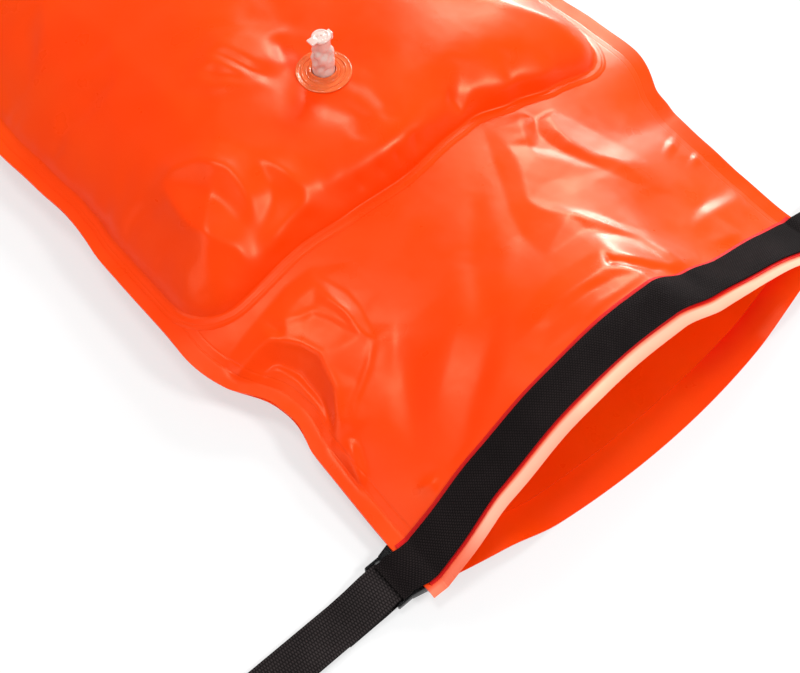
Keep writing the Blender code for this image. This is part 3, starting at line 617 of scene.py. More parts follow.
@dataclass(frozen=True)
class Crease:
    """A ridge or a valley in the film, in millimetres.

    Its path's points are places across the bag and from its mouth; left and right are its widths beside it.
    """

    path: tuple[Pair, ...]
    rise: float
    left: float
    right: float
    power: float = 1.5

    def height(self, across: Array, distance: Array) -> Array:
        """How far the crease lifts each point.

        Args:
            across: each point's place across the bag.
            distance: its distance from the mouth.

        Returns:
            The lift in metres, tapered towards the crease's ends.
        """
        path = np.array(self.path) / 1000
        runs = np.linalg.norm(np.diff(path, axis=0), axis=1)
        starts = np.concatenate([[0], np.cumsum(runs)])
        nearest = np.full(across.shape, np.inf)
        side = np.ones(across.shape)
        share = np.zeros(across.shape)
        for index, run in enumerate(runs):
            way = (path[index + 1] - path[index]) / run
            along = np.clip((across - path[index][0]) * way[0] + (distance - path[index][1]) * way[1], 0, run)
            gap_a = across - path[index][0] - along * way[0]
            gap_d = distance - path[index][1] - along * way[1]
            gap = np.hypot(gap_a, gap_d)
            closer = gap < nearest
            nearest = np.where(closer, gap, nearest)
            side = np.where(closer, way[0] * gap_d - way[1] * gap_a, side)
            share = np.where(closer, (starts[index] + along) / starts[-1], share)
        width = np.where(side > 0, self.left, self.right) / 1000
        taper = np.sin(np.pi * np.clip(share, 0.02, 0.98)) ** 0.6
        return self.rise / 1000 * taper * np.exp(-((nearest / width) ** self.power))


def softened(grid: Array) -> Array:
    """Average each point of a grid with its neighbours."""
    for axis in (0, 1):
        wide = np.pad(grid, [(1, 1) if index == axis else (0, 0) for index in (0, 1)], mode="edge")
        before, after = (wide[:-2], wide[2:]) if axis == 0 else (wide[:, :-2], wide[:, 2:])
        grid = (before + 2 * grid + after) / 4
    return grid


@dataclass(frozen=True)
class Facets:
    """A crumpled patch of film: sharp folds with flat faces between them.

    Folds are runs of points in millimetres: across the bag, from its mouth, and up. The patch dies out at its
    rim.
    """

    folds: tuple[tuple[Triple, ...], ...]
    rim: tuple[Pair, ...]
    scale: float = 1.0
    soften: int = 2

    def faces(self) -> tuple[Array, list[list[int]]]:
        """Corners and triangles, with the folds among their edges."""
        loop = tuple((across, distance, 0.0) for across, distance in self.rim)
        places: dict[Pair, int] = {}
        points, edges = [], []
        for fold in self.folds + (loop + loop[:1],):
            numbers = []
            for point in fold:
                if point[:2] not in places:
                    places[point[:2]] = len(points)
                    points.append(point)
                numbers.append(places[point[:2]])
            edges += list(zip(numbers, numbers[1:]))
        flat = [Vector(point[:2]) for point in points]
        corners, _, faces, origins, _, _ = delaunay_2d_cdt(flat, edges, [], 0, 0.01)
        placed = []
        for corner, origin in zip(corners, origins):
            lift = points[origin[0]][2] if origin else self.lift_on_edge(corner, points, edges)
            placed.append((corner.x, corner.y, lift))
        return np.array(placed), [list(face) for face in faces]

    @staticmethod
    def lift_on_edge(place: Vector, points: Sequence[Triple], edges: Sequence[tuple[int, int]]) -> float:
        """The lift where two folds cross, from the nearer fold."""
        best, lift = math.inf, 0.0
        for first, second in edges:
            start, end = Vector(points[first]), Vector(points[second])
            level = (start.to_2d().to_3d(), end.to_2d().to_3d())
            nearest, share = intersect_point_line(place.to_3d(), *level)
            gap = (nearest.to_2d() - place).length
            if -0.01 <= share <= 1.01 and gap < best:
                best, lift = gap, start.z + (end.z - start.z) * share
        return lift

    def height(self, across: Array, distance: Array) -> Array:
        """How far the patch lifts each point of a grid, its folds softened by a point or two."""
        corners, faces = self.faces()
        lift = np.zeros(across.shape)
        a, d = across * 1000, distance * 1000
        for face in faces:
            (ax, ay, az), (bx, by, bz), (cx, cy, cz) = corners[face[:3]]
            turn = (bx - ax) * (cy - ay) - (cx - ax) * (by - ay)
            if abs(turn) > 1e-6:
                second = ((a - ax) * (cy - ay) - (cx - ax) * (d - ay)) / turn
                third = ((bx - ax) * (d - ay) - (a - ax) * (by - ay)) / turn
                inside = (second >= 0) & (third >= 0) & (second + third <= 1)
                lift = np.where(inside, az + second * (bz - az) + third * (cz - az), lift)
        for _ in range(self.soften):
            lift = softened(lift)
        return lift * self.scale / 1000


@dataclass(frozen=True)
class BagShape:
    """The bag's surfaces as the model has them, with the lie that the film takes in use."""

    film: float = 0.0008
    gap: float = 0.0003
    length: float = 0.700
    mouth_y: float = -0.339
    seam: float = 0.010
    widest: float = 0.186
    half_widths: Stations = Stations((
        (0, 0.172), (0.135, 0.168), (0.205, 0.186), (0.53, 0.186), (0.666, 0.182),
    ))
    edge_heights: Stations = Stations((
        (0, 0.0123), (0.033, 0.0123), (0.135, 0.020), (0.215, 0.030), (0.53, 0.030), (0.690, 0.016),
    ))
    front_heights: Stations = Stations((
        (0, 0.060), (0.135, 0.052), (0.196, 0.050), (0.35, 0.043), (0.615, 0.034),
    ))
    flat_shares: Stations = Stations(((0.033, 0.53), (0.135, 0.60)))
    raised_shares: Stations = Stations(((0.033, 0.76), (0.135, 1.0)))
    end_radius: float = 0.034
    end_run: float = 0.085
    lip_run: float = 0.130
    front_set_back: float = 0.011
    back_reach: float = 0.022
    lip_droop: float = 0.36
    droop_run: float = 0.0045
    rise_run: float = 0.12
    tilt_run: float = 0.125
    shift: Ramp = Ramp(0.11, 0.0)
    seam_place: float = 0.2
    seam_spread: float = 0.045
    left_edge: Stations = Stations((
        (0, 0.0), (0.0628, -0.0003), (0.1025, -0.0004), (0.1241, 0.0042), (0.142, 0.0026),
        (0.1705, -0.0052), (0.2218, -0.0021), (0.2508, -0.0021), (0.2874, -0.0018), (0.3144, 0.0014),
        (0.3293, 0.0022), (0.363, -0.0006), (0.4016, -0.0033), (0.46, 0.0),
    ))
    right_edge: Stations = Stations((
        (0, 0.0), (0.0359, -0.0018), (0.074, -0.0004), (0.1066, 0.0012), (0.1471, 0.0038), (0.169, -0.0002),
        (0.2042, 0.0), (0.2336, -0.0014), (0.262, -0.0046), (0.31, -0.0030), (0.38, 0.0),
    ))
    seam_shift: Stations = Stations((
        (-0.145, -0.002), (-0.094, 0.002), (-0.058, -0.001), (-0.018, -0.003), (0.035, 0.003), (0.05, 0.0045),
        (0.08, -0.002), (0.11, -0.008), (0.16, -0.014),
    ))
    mouth_rise: Stations = Stations((
        (-0.172, 0.0), (-0.10, 0.001), (-0.05, 0.0055), (-0.01, 0.0065), (0.03, 0.0055), (0.062, -0.003),
        (0.09, -0.0055), (0.14, -0.002), (0.172, 0.001),
    ))
    band_tilt: Stations = Stations((
        (-0.172, 0.0), (-0.12, 0.0), (-0.06, 0.002), (0.0, 0.005), (0.03, 0.005), (0.06, -0.001),
        (0.09, -0.005), (0.135, -0.004), (0.172, 0.0),
    ))
    mouth_shift: Stations = Stations((
        (-0.172, -0.0030), (-0.145, -0.0036), (-0.11, -0.0010), (-0.06, 0.0008), (0.0, 0.0024),
        (0.03, 0.0020), (0.06, -0.0020), (0.09, -0.0036), (0.13, -0.0024), (0.172, 0.0),
    ))
    tilt_shares: Stations = Stations(((0.0, -1.0), (0.034, 1.0), (0.050, 1.0), (0.125, 0.0)))
    lip_extra: Stations = Stations((
        (-0.172, 0.0008), (-0.152, 0.0012), (-0.125, 0.0020), (-0.09, 0.0028), (0.0, 0.0035),
        (0.06, 0.0028), (0.10, 0.0010), (0.172, 0.0),
    ))

    def half_width(self, distance: Array) -> Array:
        """Half the bag's width, with the closed end's round corners."""
        rise = np.clip(distance - (self.length - self.end_radius), 0, self.end_radius)
        return self.half_widths.at(distance) + np.sqrt(self.end_radius**2 - rise**2) - self.end_radius

    def inner_share(self, across: Array, distance: Array) -> Array:
        """How far across the space between the side seams a point lies."""
        return np.minimum(np.abs(across) / (self.half_width(distance) - self.seam), 1)

    def end_share(self, distance: Array) -> Array:
        """0 in the bag's body, 1 where the closed end's seam starts."""
        return np.clip((distance - (self.length - self.seam - self.end_run)) / self.end_run, 0, 1)

    def laid(self, across: Array, distance: Array, height: Array, reach: float) -> Array:
        """Put points at their places, with the waves of the edges and of the chamber's seam.

        Args:
            across: each point's place across the bag.
            distance: its distance from the mouth.
            height: its height.
            reach: how far the lip's middle lies from its ends, along the bag.

        Returns:
            An array of points.
        """
        fall = np.maximum(1 - np.maximum(distance, 0) / self.lip_run, 0)
        y = self.mouth_y + distance + reach * (1 - self.inner_share(across, distance) ** 2) * fall**2
        if reach > 0:
            y = y + self.mouth_shift.at(across) * self.shift.at(distance)
        near_seam = np.exp(-(((distance - self.seam_place) / self.seam_spread) ** 2))
        y = y + self.seam_shift.at(across) * near_seam
        share = across / self.half_width(distance)
        edge = np.where(share < 0, self.left_edge.at(distance), self.right_edge.at(distance))
        return np.stack([across + edge * np.abs(share) ** 4, y, height], -1)

    def front_height(self, across: Array, distance: Array) -> Array:
        """Height of the front wall's inner face."""
        edge = self.edge_heights.at(distance) + self.gap / 2
        top = self.front_heights.at(distance)
        arch = 1 - self.inner_share(across, distance) ** 2.2
        rise = self.mouth_rise.at(across) * np.clip(1 - distance / self.rise_run, 0, 1)
        rise = rise + self.band_tilt.at(across) * self.tilt_shares.at(np.clip(distance, 0, self.tilt_run))
        rise = rise * (1 - self.inner_share(across, distance) ** 6)
        return edge + (top - edge) * arch * (1 - self.end_share(distance) ** 2) + rise

    def front(self, across: Array, distance: Array) -> Array:
        """Points on the front wall's inner face."""
        droop = self.lip_droop * np.maximum(self.droop_run - distance, 0)
        height = self.front_height(across, distance) - droop
        return self.laid(across, distance, height, self.front_set_back)

    def back(self, across: Array, distance: Array) -> Array:
        """Points on the back wall's inner face."""
        edge = self.edge_heights.at(distance) - self.gap / 2
        flat = self.flat_shares.at(distance)
        raised = self.raised_shares.at(distance)
        side = smooth((self.inner_share(across, distance) - flat) / (raised - flat))
        end = smooth(self.end_share(distance))
        height = self.film + (edge - self.film) * (1 - (1 - side) * (1 - end))
        return self.laid(across, distance, height, -self.back_reach)


def normals_of(points: Array) -> Array:
    """Upward normals of a grid of points."""
    normal = np.cross(np.gradient(points, axis=1), np.gradient(points, axis=0))
    normal *= np.sign(normal[..., 2:3] + 1e-12)
    return normal / np.linalg.norm(normal, axis=-1, keepdims=True)


def grid_mesh(name: str, points: Array, uv: Array | None = None, uv_name: str = "strip") -> Object:
    """An open sheet from a grid of points.

    Args:
        name: the object's name.
        points: rows and columns of points.
        uv: each point's two sheet coordinates, in metres.
        uv_name: the UV map's name.

    Returns:
        The sheet, linked to the scene.
    """
    rows, columns = points.shape[:2]
    index = np.arange(rows * columns).reshape(rows, columns)
    faces = np.stack([index[:-1, :-1], index[:-1, 1:], index[1:, 1:], index[1:, :-1]], -1).reshape(-1, 4)
    mesh = bpy.data.meshes.new(name)
    mesh.from_pydata(points.reshape(-1, 3).tolist(), [], faces.tolist())
    if uv is not None:
        layer = mesh.uv_layers.new(name=uv_name)
        layer.data.foreach_set("uv", uv.reshape(-1, 2)[faces.reshape(-1)].reshape(-1))
    return link(bpy.data.objects.new(name, mesh))


def thicken(item: Object, thickness: float, offset: float, refine: int = 0) -> None:
    """Refine a sheet and give it its thickness."""
    if refine:
        modifier = item.modifiers.new("refine", "SUBSURF")
        modifier.levels = modifier.render_levels = refine
        modifier.boundary_smooth = "PRESERVE_CORNERS"
    modifier = item.modifiers.new("thickness", "SOLIDIFY")
    modifier.thickness = thickness
    modifier.offset = offset
    modifier.use_even_offset = True
    apply_all(item)


def woven_strip(name: str, points: Array, thickness: float, closed: bool = False) -> Object:
    """A strap with metres along and across it as its UV map.

    Args:
        name: the strap's name.
        points: rows of points across it, one behind the other.
        thickness: its thickness, half to each side of the points.
        closed: whether its last row lies on its first and joins it.

    Returns:
        The strap.
    """
    half = np.linalg.norm(points[0, -1] - points[0, 0]) / 2
    middle = points[:, points.shape[1] // 2]
    run = np.concatenate([[0], np.cumsum(np.linalg.norm(np.diff(middle, axis=0), axis=1))])
    uv = np.stack(np.broadcast_arrays(run[:, None], np.linspace(-half, half, points.shape[1])[None]), -1)
    strap = grid_mesh(name, points, uv)
    if closed:
        with editing(strap, lambda face: True):
            bpy.ops.mesh.remove_doubles(threshold=0.00001)
            bpy.ops.mesh.normals_make_consistent(inside=False)
    thicken(strap, thickness, 0)
    return strap


def set_attribute(item: Object, name: str, values: Array) -> None:
    """Store a number at each point of a mesh."""
    attribute = item.data.attributes.new(name, "FLOAT", "POINT")
    attribute.data.foreach_set("value", values.reshape(-1).astype(float))


SLEEVE_FORMS: tuple[Crease | Facets, ...] = (
    # the crumpled patch at the left of the chamber's seam
    Facets(
        (
            ((-171, 171, 1.5), (-162, 172, 3.0), (-150, 173, 4.0), (-142, 172, 5.0), (-136, 166, 5.2),
             (-132, 157, 5.5), (-129, 143, 6.0),
             (-132, 134, 5.5), (-136, 122, 5.0), (-145, 108, 3.0), (-152, 101, 1.0)),
            ((-166, 160, 0.0), (-149, 161, -1.5), (-145, 147, -2.0), (-147, 126, -1.5), (-151, 111, -0.5)),
            ((-163, 165, 0.6), (-151, 157, 0.4), (-149, 141, 0.4), (-151, 119, 0.4), (-154, 102, 0.0)),
            ((-101, 126, 1.5), (-114, 118, 1.5), (-124, 113, 1.3), (-132, 108, 1.2), (-142, 100, 1.5)),
            ((-151, 99, 1.2), (-153, 89, 2.4), (-157, 80, 2.2), (-162, 73, 0.6)),
            ((-142, 100, 1.5), (-145, 92, 0.0), (-148, 83, -0.3), (-151, 76, -0.3), (-156, 71, 0.0),
             (-162, 70, 0.0)),
            ((-142, 172, 5.0), (-136, 171, 3.2), (-130, 175, 4.0), (-122, 169, 3.6), (-114, 166, 2.4),
             (-109, 155, 3.0), (-107, 144, 3.0), (-104, 134, 3.2)),
            ((-104, 134, 3.2), (-115, 136, 4.6), (-123, 139, 5.4), (-129, 143, 6.0)),
            ((-103, 164, 4.2), (-102, 150, 4.2), (-104, 134, 3.2), (-101, 126, 1.5)),
            ((-93, 160, 0.4), (-94, 148, 0.2), (-97, 138, 0.6), (-101, 126, 1.5)),
            ((-130, 175, 4.0), (-118, 177, 3.0), (-104, 177, 2.4), (-98, 177, 1.0)),
            ((-104, 177, 2.4), (-103, 164, 4.2)),
        ),
        ((-176, 176), (-166, 183), (-140, 188), (-117, 190), (-98, 187), (-80, 174), (-78, 150), (-86, 126),
         (-104, 108), (-129, 93),
         (-141, 80), (-149, 64), (-163, 60), (-169, 68), (-165, 84), (-163, 101), (-166, 122), (-164, 145),
          (-172, 161)),
        soften=1,
    ),
    Crease(((-169, 170), (-150, 173), (-142, 172), (-132, 157), (-129, 143), (-136, 122), (-145, 108),
     (-152, 101)), 0.9, 2.4, 2.4),
    Crease(((-169, 166), (-162, 164), (-151, 157), (-149, 141), (-151, 119), (-154, 102)), 0.8, 2.2, 2.2),
    Crease(((-101, 128), (-114, 118), (-132, 108), (-142, 100)), 0.9, 2.4, 2.4),
    Crease(((-132, 176), (-122, 169), (-114, 166), (-109, 155), (-107, 144), (-103, 132)), 0.9, 2.2, 2.2),
    Crease(((-103, 164), (-102, 150), (-104, 134)), 0.8, 2.2, 2.2),
    Crease(((-148, 96), (-151, 88), (-155, 80), (-161, 70), (-160, 62)), 1.2, 2.4, 2.4),
    # the crumpled patch at the right
    Facets(
        (
            ((75, 190, 1.6), (69, 181, 2.4), (64, 172, 2.2), (60, 165, 1.2)),
            ((81, 183, -0.4), (74, 174, -0.5), (64, 163, 0.2)),
            ((88, 178, 1.4), (85, 166, 2.0), (84, 152, 2.2), (88, 138, 2.0), (98, 125, 1.6), (102, 112, 1.0),
             (105, 97, 0.5)),
            ((77, 176, -0.2), (73, 164, -0.4), (74, 155, -0.5), (80, 140, -0.4), (87, 124, -0.2),
             (95, 105, 0.0)),
            ((53, 188, 0.6), (50, 172, 1.4), (47, 161, 2.0), (40, 150, 2.0), (32, 139, 2.0)),
            ((47, 161, 2.0), (59, 156, 1.6), (66, 148, 1.2), (73, 137, 0.6)),
            ((32, 139, 2.0), (42, 138, 1.2), (55, 135, 0.7), (70, 129, 0.4), (81, 119, 0.3), (92, 99, 0.2)),
            ((28, 132, 2.2), (30, 124, 2.6), (40, 109, 2.8), (50, 89, 2.6), (61, 68, 2.0), (71, 51, 1.2),
             (80, 36, 0.4)),
            ((33, 133, 1.6), (40, 121, 1.7), (51, 103, 1.6), (62, 82, 1.2), (73, 64, 0.7), (84, 46, 0.3)),
            ((38, 94, 0.2), (47, 82, 0.9), (58, 66, 2.0), (65, 51, 2.6), (70, 34, 1.0)),
            ((36, 87, 0.2), (31, 74, 0.7), (33, 66, 1.0), (40, 57, 1.8), (49, 48, 2.6), (60, 38, 2.4),
             (71, 27, 0.4)),
            ((28, 63, -1.2), (35, 54, -1.2), (45, 44, -0.8)),
            ((-39, 61, 0.6), (-24, 62, 1.4), (-8, 62, 1.8), (9, 60, 2.0), (22, 60, 1.8), (27, 56, 1.2),
             (36, 42, 0.4)),
            ((-32, 53, 0.0), (-14, 54, 0.0), (6, 53, 0.0), (20, 51, 0.2)),
            ((-22, 43, 0.5), (1, 44, 1.2), (17, 41, 0.7)),
        ),
        ((51, 195), (36, 171), (24, 150), (14, 135), (8, 117), (6, 95), (1, 80), (-17, 78), (-37, 74),
         (-52, 62), (-44, 44), (-20, 34),
         (10, 32), (36, 28), (60, 18), (80, 20), (84, 40), (100, 58), (114, 85), (118, 112), (110, 140),
          (104, 166), (98, 186), (78, 198)),
        soften=1,
    ),
    # the ridge by the right edge
    Facets(
        (
            ((102, 62, 0.4), (118, 62, 2.0), (133, 62, 2.2), (150, 63, 1.4), (160, 63, 0.4)),
            ((115, 69, 0.0), (132, 71, -0.3), (157, 72, 0.0)),
            ((109, 50, 0.5), (116, 41, 1.6), (115, 31, 0.6)),
        ),
        ((94, 66), (104, 80), (132, 84), (162, 80), (168, 66), (150, 50), (128, 40), (122, 24), (108, 24),
         (100, 46)),
    ),
    # long soft pleats that fan out from the chamber's seam to the band
    Crease(((11, 162), (-6, 146), (-22, 131), (-39, 108), (-53, 89)), -0.8, 7, 7, 2.0),
    Crease(((14, 150), (-6, 120), (-43, 78)), 0.7, 10, 8, 2.0),
    Crease(((-90, 123), (-111, 85), (-129, 50)), -1.6, 11, 9, 2.0),
    Crease(((-27, 126), (-65, 97), (-110, 67), (-130, 46)), 1.4, 9, 12, 2.0),
    Crease(((-42, 87), (-77, 62), (-107, 44), (-122, 36)), -1.4, 7, 9, 2.0),
    Crease(((143, 121), (146, 114)), 1.4, 7, 7),
    Crease(((150, 104), (153, 97)), 1.2, 6, 6),
    Crease(((-140, 46), (-133, 41), (-137, 36)), 1.4, 3, 3),
)
PANEL_FORMS: tuple[Crease | Facets, ...] = (
    # the ring of dents at the left of the chamber's mouth side
    Facets(
        (
            ((-134, 283, 1.0), (-137, 264, 1.8), (-138, 251, 2.0), (-134, 237, 2.0), (-127, 224, 1.6),
             (-125, 209, 0.6)),
            ((-134, 283, 1.0), (-125, 284, 1.8), (-112, 276, 2.2), (-103, 260, 2.2), (-103, 248, 2.0),
             (-104, 237, 1.6), (-107, 229, 0.8)),
            ((-128, 272, -0.2), (-121, 257, -1.2), (-117, 243, -1.4), (-118, 232, -0.6)),
            ((-84, 250, 0.2), (-78, 236, 1.4), (-75, 223, 1.8), (-79, 216, 2.4), (-93, 215, 2.4),
             (-104, 213, 2.0), (-114, 212, 1.4)),
            ((-88, 240, -0.8), (-92, 228, -1.0), (-102, 224, -0.8), (-114, 219, -0.4)),
        ),
        ((-150, 288), (-127, 297), (-102, 288), (-88, 268), (-68, 246), (-60, 222), (-70, 208), (-92, 205),
         (-114, 204), (-130, 203), (-142, 214), (-151, 236), (-152, 262)),
        scale=1.4,
    ),
    # puckers beside the valve
    Facets(
        (
            ((-82, 324, 0.8), (-74, 327, 1.2), (-59, 333, 1.6), (-48, 339, 1.6), (-36, 334, 1.8),
             (-26, 325, 1.6), (-17, 321, 1.6), (-9, 315, 1.0)),
            ((-50, 332, 2.6), (-44, 313, 2.6), (-41, 304, 1.0)),
            ((-54, 325, 0.0), (-48, 309, 0.0), (-45, 300, 0.0)),
            ((-60, 328, 2.2), (-56, 315, 2.2), (-53, 304, 1.2)),
            ((-67, 321, 0.0), (-61, 312, 0.0), (-57, 305, 0.4)),
            ((-82, 324, 0.8), (-74, 312, 1.4), (-62, 305, 1.5), (-49, 296, 1.2), (-45, 289, 0.4)),
            ((-26, 320, 1.8), (-33, 302, 1.4)),
            ((-21, 315, -0.2), (-26, 303, -0.2)),
        ),
        ((-50, 351), (-76, 338), (-92, 327), (-80, 306), (-62, 292), (-47, 279), (-36, 292), (-24, 300),
         (-4, 302), (2, 310), (-4, 324), (-24, 338)),
        scale=1.2,
        soften=1,
    ),
    # thin folds along the ring of dents
    Crease(((-133, 284), (-125, 284), (-112, 275), (-103, 259), (-103, 247), (-105, 236),
     (-107, 228)), 1.2, 3.4, 3.4),
    Crease(((-137, 280), (-138, 262), (-140, 248), (-136, 233), (-128, 222), (-127, 210)), 1.2, 3.4, 3.4),
    Crease(((-74, 222), (-79, 216), (-93, 214), (-104, 212), (-116, 210)), 1.2, 3, 3.4),
    Crease(((-84, 253), (-78, 236), (-74, 221)), 1, 3.4, 3.4),
    # the puffed rim above the seam, and the small puckers across it
    Crease(((-67, 219), (-43, 217), (-18, 216), (3, 215), (20, 212), (38, 209)), 2.4, 10, 5),
    Crease(((54, 208), (71, 209), (91, 208), (110, 206), (130, 201), (142, 196)), 2.2, 10, 5),
    Crease(((-43, 214), (-43, 205)), -1.2, 3, 3),
    Crease(((-28, 214), (-27, 205)), -1.4, 3, 3),
    Crease(((-14, 214), (-13, 205)), -1.4, 3, 3),
    Crease(((1, 214), (3, 205)), -1.4, 3, 3),
    Crease(((38, 218), (44, 205)), -2.6, 6, 5),
    Crease(((121, 206), (123, 196)), -1.4, 3, 3),
    Crease(((137, 202), (136, 193)), -1.4, 3, 3),
)


@dataclass(frozen=True)
class Inflation:
    """A short cloth simulation that swells a sheet with air."""

    frames: int = 18
    most_move: float = 0.0035
    slack: float = 0.0035
    cloth: tuple[tuple[str, float], ...] = (
        ("quality", 6), ("mass", 0.25), ("tension_stiffness", 18), ("compression_stiffness", 18),
        ("shear_stiffness", 8), ("bending_stiffness", 1.5), ("air_damping", 2.0), ("use_pressure", True),
        ("uniform_pressure_force", 1.0),
    )

    def swelling(self, points: Array, pinned: Array) -> Array:
        """How a sheet swells under air pressure.

        Args:
            points: every second row and column of the sheet's grid.
            pinned: which of them are welded down.

        Returns:
            The move of each point of the whole grid, none further than most_move.
        """
        item = grid_mesh("simulated sheet", points)
        group = item.vertex_groups.new(name="weld")
        group.add([int(index) for index in np.flatnonzero(pinned.reshape(-1))], 1.0, "REPLACE")
        modifier = item.modifiers.new("air", "CLOTH")
        for key, value in self.cloth:
            setattr(modifier.settings, key, value)
        modifier.settings.effector_weights.gravity = 0
        modifier.settings.shrink_min = -self.slack
        modifier.settings.vertex_group_mass = "weld"
        modifier.collision_settings.use_collision = False
        modifier.point_cache.frame_end = self.frames
        scene = bpy.context.scene
        for step in range(1, self.frames + 1):
            scene.frame_set(step)
        choose(item)
        bpy.ops.object.modifier_apply(modifier=modifier.name)
        moved = np.empty(len(item.data.vertices) * 3)
        item.data.vertices.foreach_get("co", moved)
        scene.frame_set(1)
        discard(item)
        move = moved.reshape(points.shape) - points
        size = np.linalg.norm(move, axis=-1, keepdims=True)
        log.info("air panel: swelled by up to %.1f mm", 1000 * size.max())
        move *= np.minimum(1, self.most_move / np.maximum(size, 1e-9))
        for axis in (0, 1):
            move = np.moveaxis(move, axis, 0)
            full = np.repeat(move, 2, axis=0)[:-1]
            full[1::2] = (move[:-1] + move[1:]) / 2
            move = np.moveaxis(full, 0, axis)
        return np.stack([softened(move[..., index]) for index in range(3)], -1)


@dataclass
class Film:
    """The bag's welded film: both walls, the air panel and the lines of their welds."""

    shape: BagShape
    pitch: float = 0.0016
    sleeve_rows_end: float = 0.214
    coarse_pitch: float = 0.008
    panel_pitch: float = 0.0025
    panel_margin: float = 0.0075
    weld_start: float = 0.203
    weld_end: float = 0.690
    weld_radius: float = 0.028
    weld_left: float = 0.0145
    weld_right: Stations = Stations(((0.19, 0.0235), (0.30, 0.021), (0.42, 0.0145)))
    weld_sink: float = 0.0009
    sink_run: float = 0.0026
    pillow: float = 0.030
    crown: float = 0.008
    crown_run: float = 0.160
    rim: Swell = Swell(0.060, 2.6, 0.62)
    gentle_rim: Swell = Swell(0.070, 2.2, 0.70)
    gentle_side: Ramp = Ramp(0.06, -0.10)
    air: Inflation = Inflation()
    pinned_run: float = 0.002
    hold_run: float = 0.006
    hold_at_band: Ramp = Ramp(0.042, 0.034)
    hold_at_chamber: Ramp = Ramp(0.185, 0.197)
    hold_at_seam: Ramp = Ramp(0.013, 0.005)
    lip_extra_run: float = 0.016
    # the painted highlight along the front wall's lip: its edge, its fade inwards, its least strength and its
    # weakening at the left end
    lip_highlight_edge: Ramp = Ramp(0.0050, 0.0034)
    lip_highlight_fade: Ramp = Ramp(-0.009, 0.003)
    lip_highlight_least: float = 0.35
    lip_highlight_left: Ramp = Ramp(-0.152, -0.122)
    lip_highlight_left_least: float = 0.3
    # the painted shade inside the back wall: it rises inwards from the lip and towards the right
    painted_shade_inwards: Ramp = Ramp(0.002, 0.022)
    painted_shade_right: Ramp = Ramp(0.01, 0.08)
    valve_x: float = -0.012
    valve_y: float = -0.060
    pad_height: float = 0.0775
    pad_radius: float = 0.0192
    pad_blend: float = 0.034
    hole_radius: float = 0.0078
    sleeve_forms: tuple[Crease | Facets, ...] = SLEEVE_FORMS
    panel_forms: tuple[Crease | Facets, ...] = PANEL_FORMS

    def weld_distance(self, across: Array, distance: Array) -> Array:
        """Distance outwards from the chamber's inner weld line, below 0 inside it."""
        half = self.shape.half_width(distance)
        left = -half + self.weld_left
        right = half - self.weld_right.at(distance)
        x = np.abs(across - (left + right) / 2) - (right - left) / 2 + self.weld_radius
        middle = (self.weld_start + self.weld_end) / 2
        y = np.abs(distance - middle) - (self.weld_end - self.weld_start) / 2 + self.weld_radius
        outside = np.hypot(np.maximum(x, 0), np.maximum(y, 0))
        return outside + np.minimum(np.maximum(x, y), 0) - self.weld_radius

    def panel(self, across: Array, distance: Array) -> Array:
        """Points on the air panel's inner face, softly inflated, its edge sunk into the weld."""
        weld = self.weld_distance(across, distance)
        inside = np.maximum(-weld, 0)
        rim = self.rim.at(inside)
        rim = rim + (self.gentle_rim.at(inside) - rim) * self.gentle_side.at(across)
        lift = self.pillow * rim + self.crown * smooth(inside / self.crown_run)
        lift = lift - self.weld_sink * smooth((weld - self.panel_margin) / self.sink_run + 1)
        height = self.shape.front_height(across, distance) + self.shape.film + self.shape.gap + lift
        pad = smooth(1 - (self.from_valve(across, distance) - self.pad_radius) / self.pad_blend)
        height = height + (self.pad_height - height) * pad
        return self.shape.laid(across, distance, height, self.shape.front_set_back)

    def from_valve(self, across: Array, distance: Array) -> Array:
        """Distance from the valve's middle."""
        return np.hypot(across - self.valve_x, distance + self.shape.mouth_y - self.valve_y)

    @staticmethod
    def formed(
        points: Array, across: Array, distance: Array, forms: Iterable[Crease | Facets], hold: Array
    ) -> Array:
        """Lift a grid of points along its normals by its creases, but not where it is held."""
        lift = sum(form.height(across, distance) for form in forms)
        return points + normals_of(points) * (lift * (1 - hold))[..., None]

    def front_grid(self) -> tuple[Array, Array]:
        """Rows and columns of the front wall: across and distance."""
        fine = np.linspace(0, self.sleeve_rows_end, round(self.sleeve_rows_end / self.pitch) + 1)
        coarse_end = self.shape.length - 1.5 * self.shape.seam
        coarse = np.arange(self.sleeve_rows_end + self.coarse_pitch, coarse_end, self.coarse_pitch)
        rows = np.concatenate([fine, coarse, [self.shape.length - self.shape.seam, self.shape.length]])
        shares = np.linspace(-1, 1, round(2 * self.shape.widest / self.pitch) + 1)
        share, distance = np.meshgrid(shares, rows)
        across = share * self.shape.half_width(distance)
        extra = self.shape.lip_extra.at(across) * np.clip(1 - distance / self.lip_extra_run, 0, 1)
        return across, distance - extra

    def make_front(self, material: Material) -> None:
        """The front wall, fine in the sleeve that shows and coarse under the chamber."""
        across, distance = self.front_grid()
        points = self.shape.front(across, distance)
        edge = self.shape.half_width(distance) - np.abs(across)
        held = np.maximum(self.hold_at_band.at(distance), self.hold_at_chamber.at(distance))
        held = np.maximum(held, self.hold_at_seam.at(edge))
        points = self.formed(points, across, distance, self.sleeve_forms, held)
        wall = grid_mesh("front_wall_film", points)
        set_attribute(wall, "weld", edge - self.shape.seam)
        # painted highlight along the lip: strongest at its edge, weaker further in and at the left end
        fade = self.lip_highlight_least + (1 - self.lip_highlight_least) * self.lip_highlight_fade.at(distance)
        pale = self.lip_highlight_left_least + (1 - self.lip_highlight_left_least) * self.lip_highlight_left.at(across)
        set_attribute(wall, "lip", pale * fade * self.lip_highlight_edge.at(distance))
        thicken(wall, self.shape.film, 1)
        finish_piece(wall, material, Body.BAG, ["front_wall"], 60)

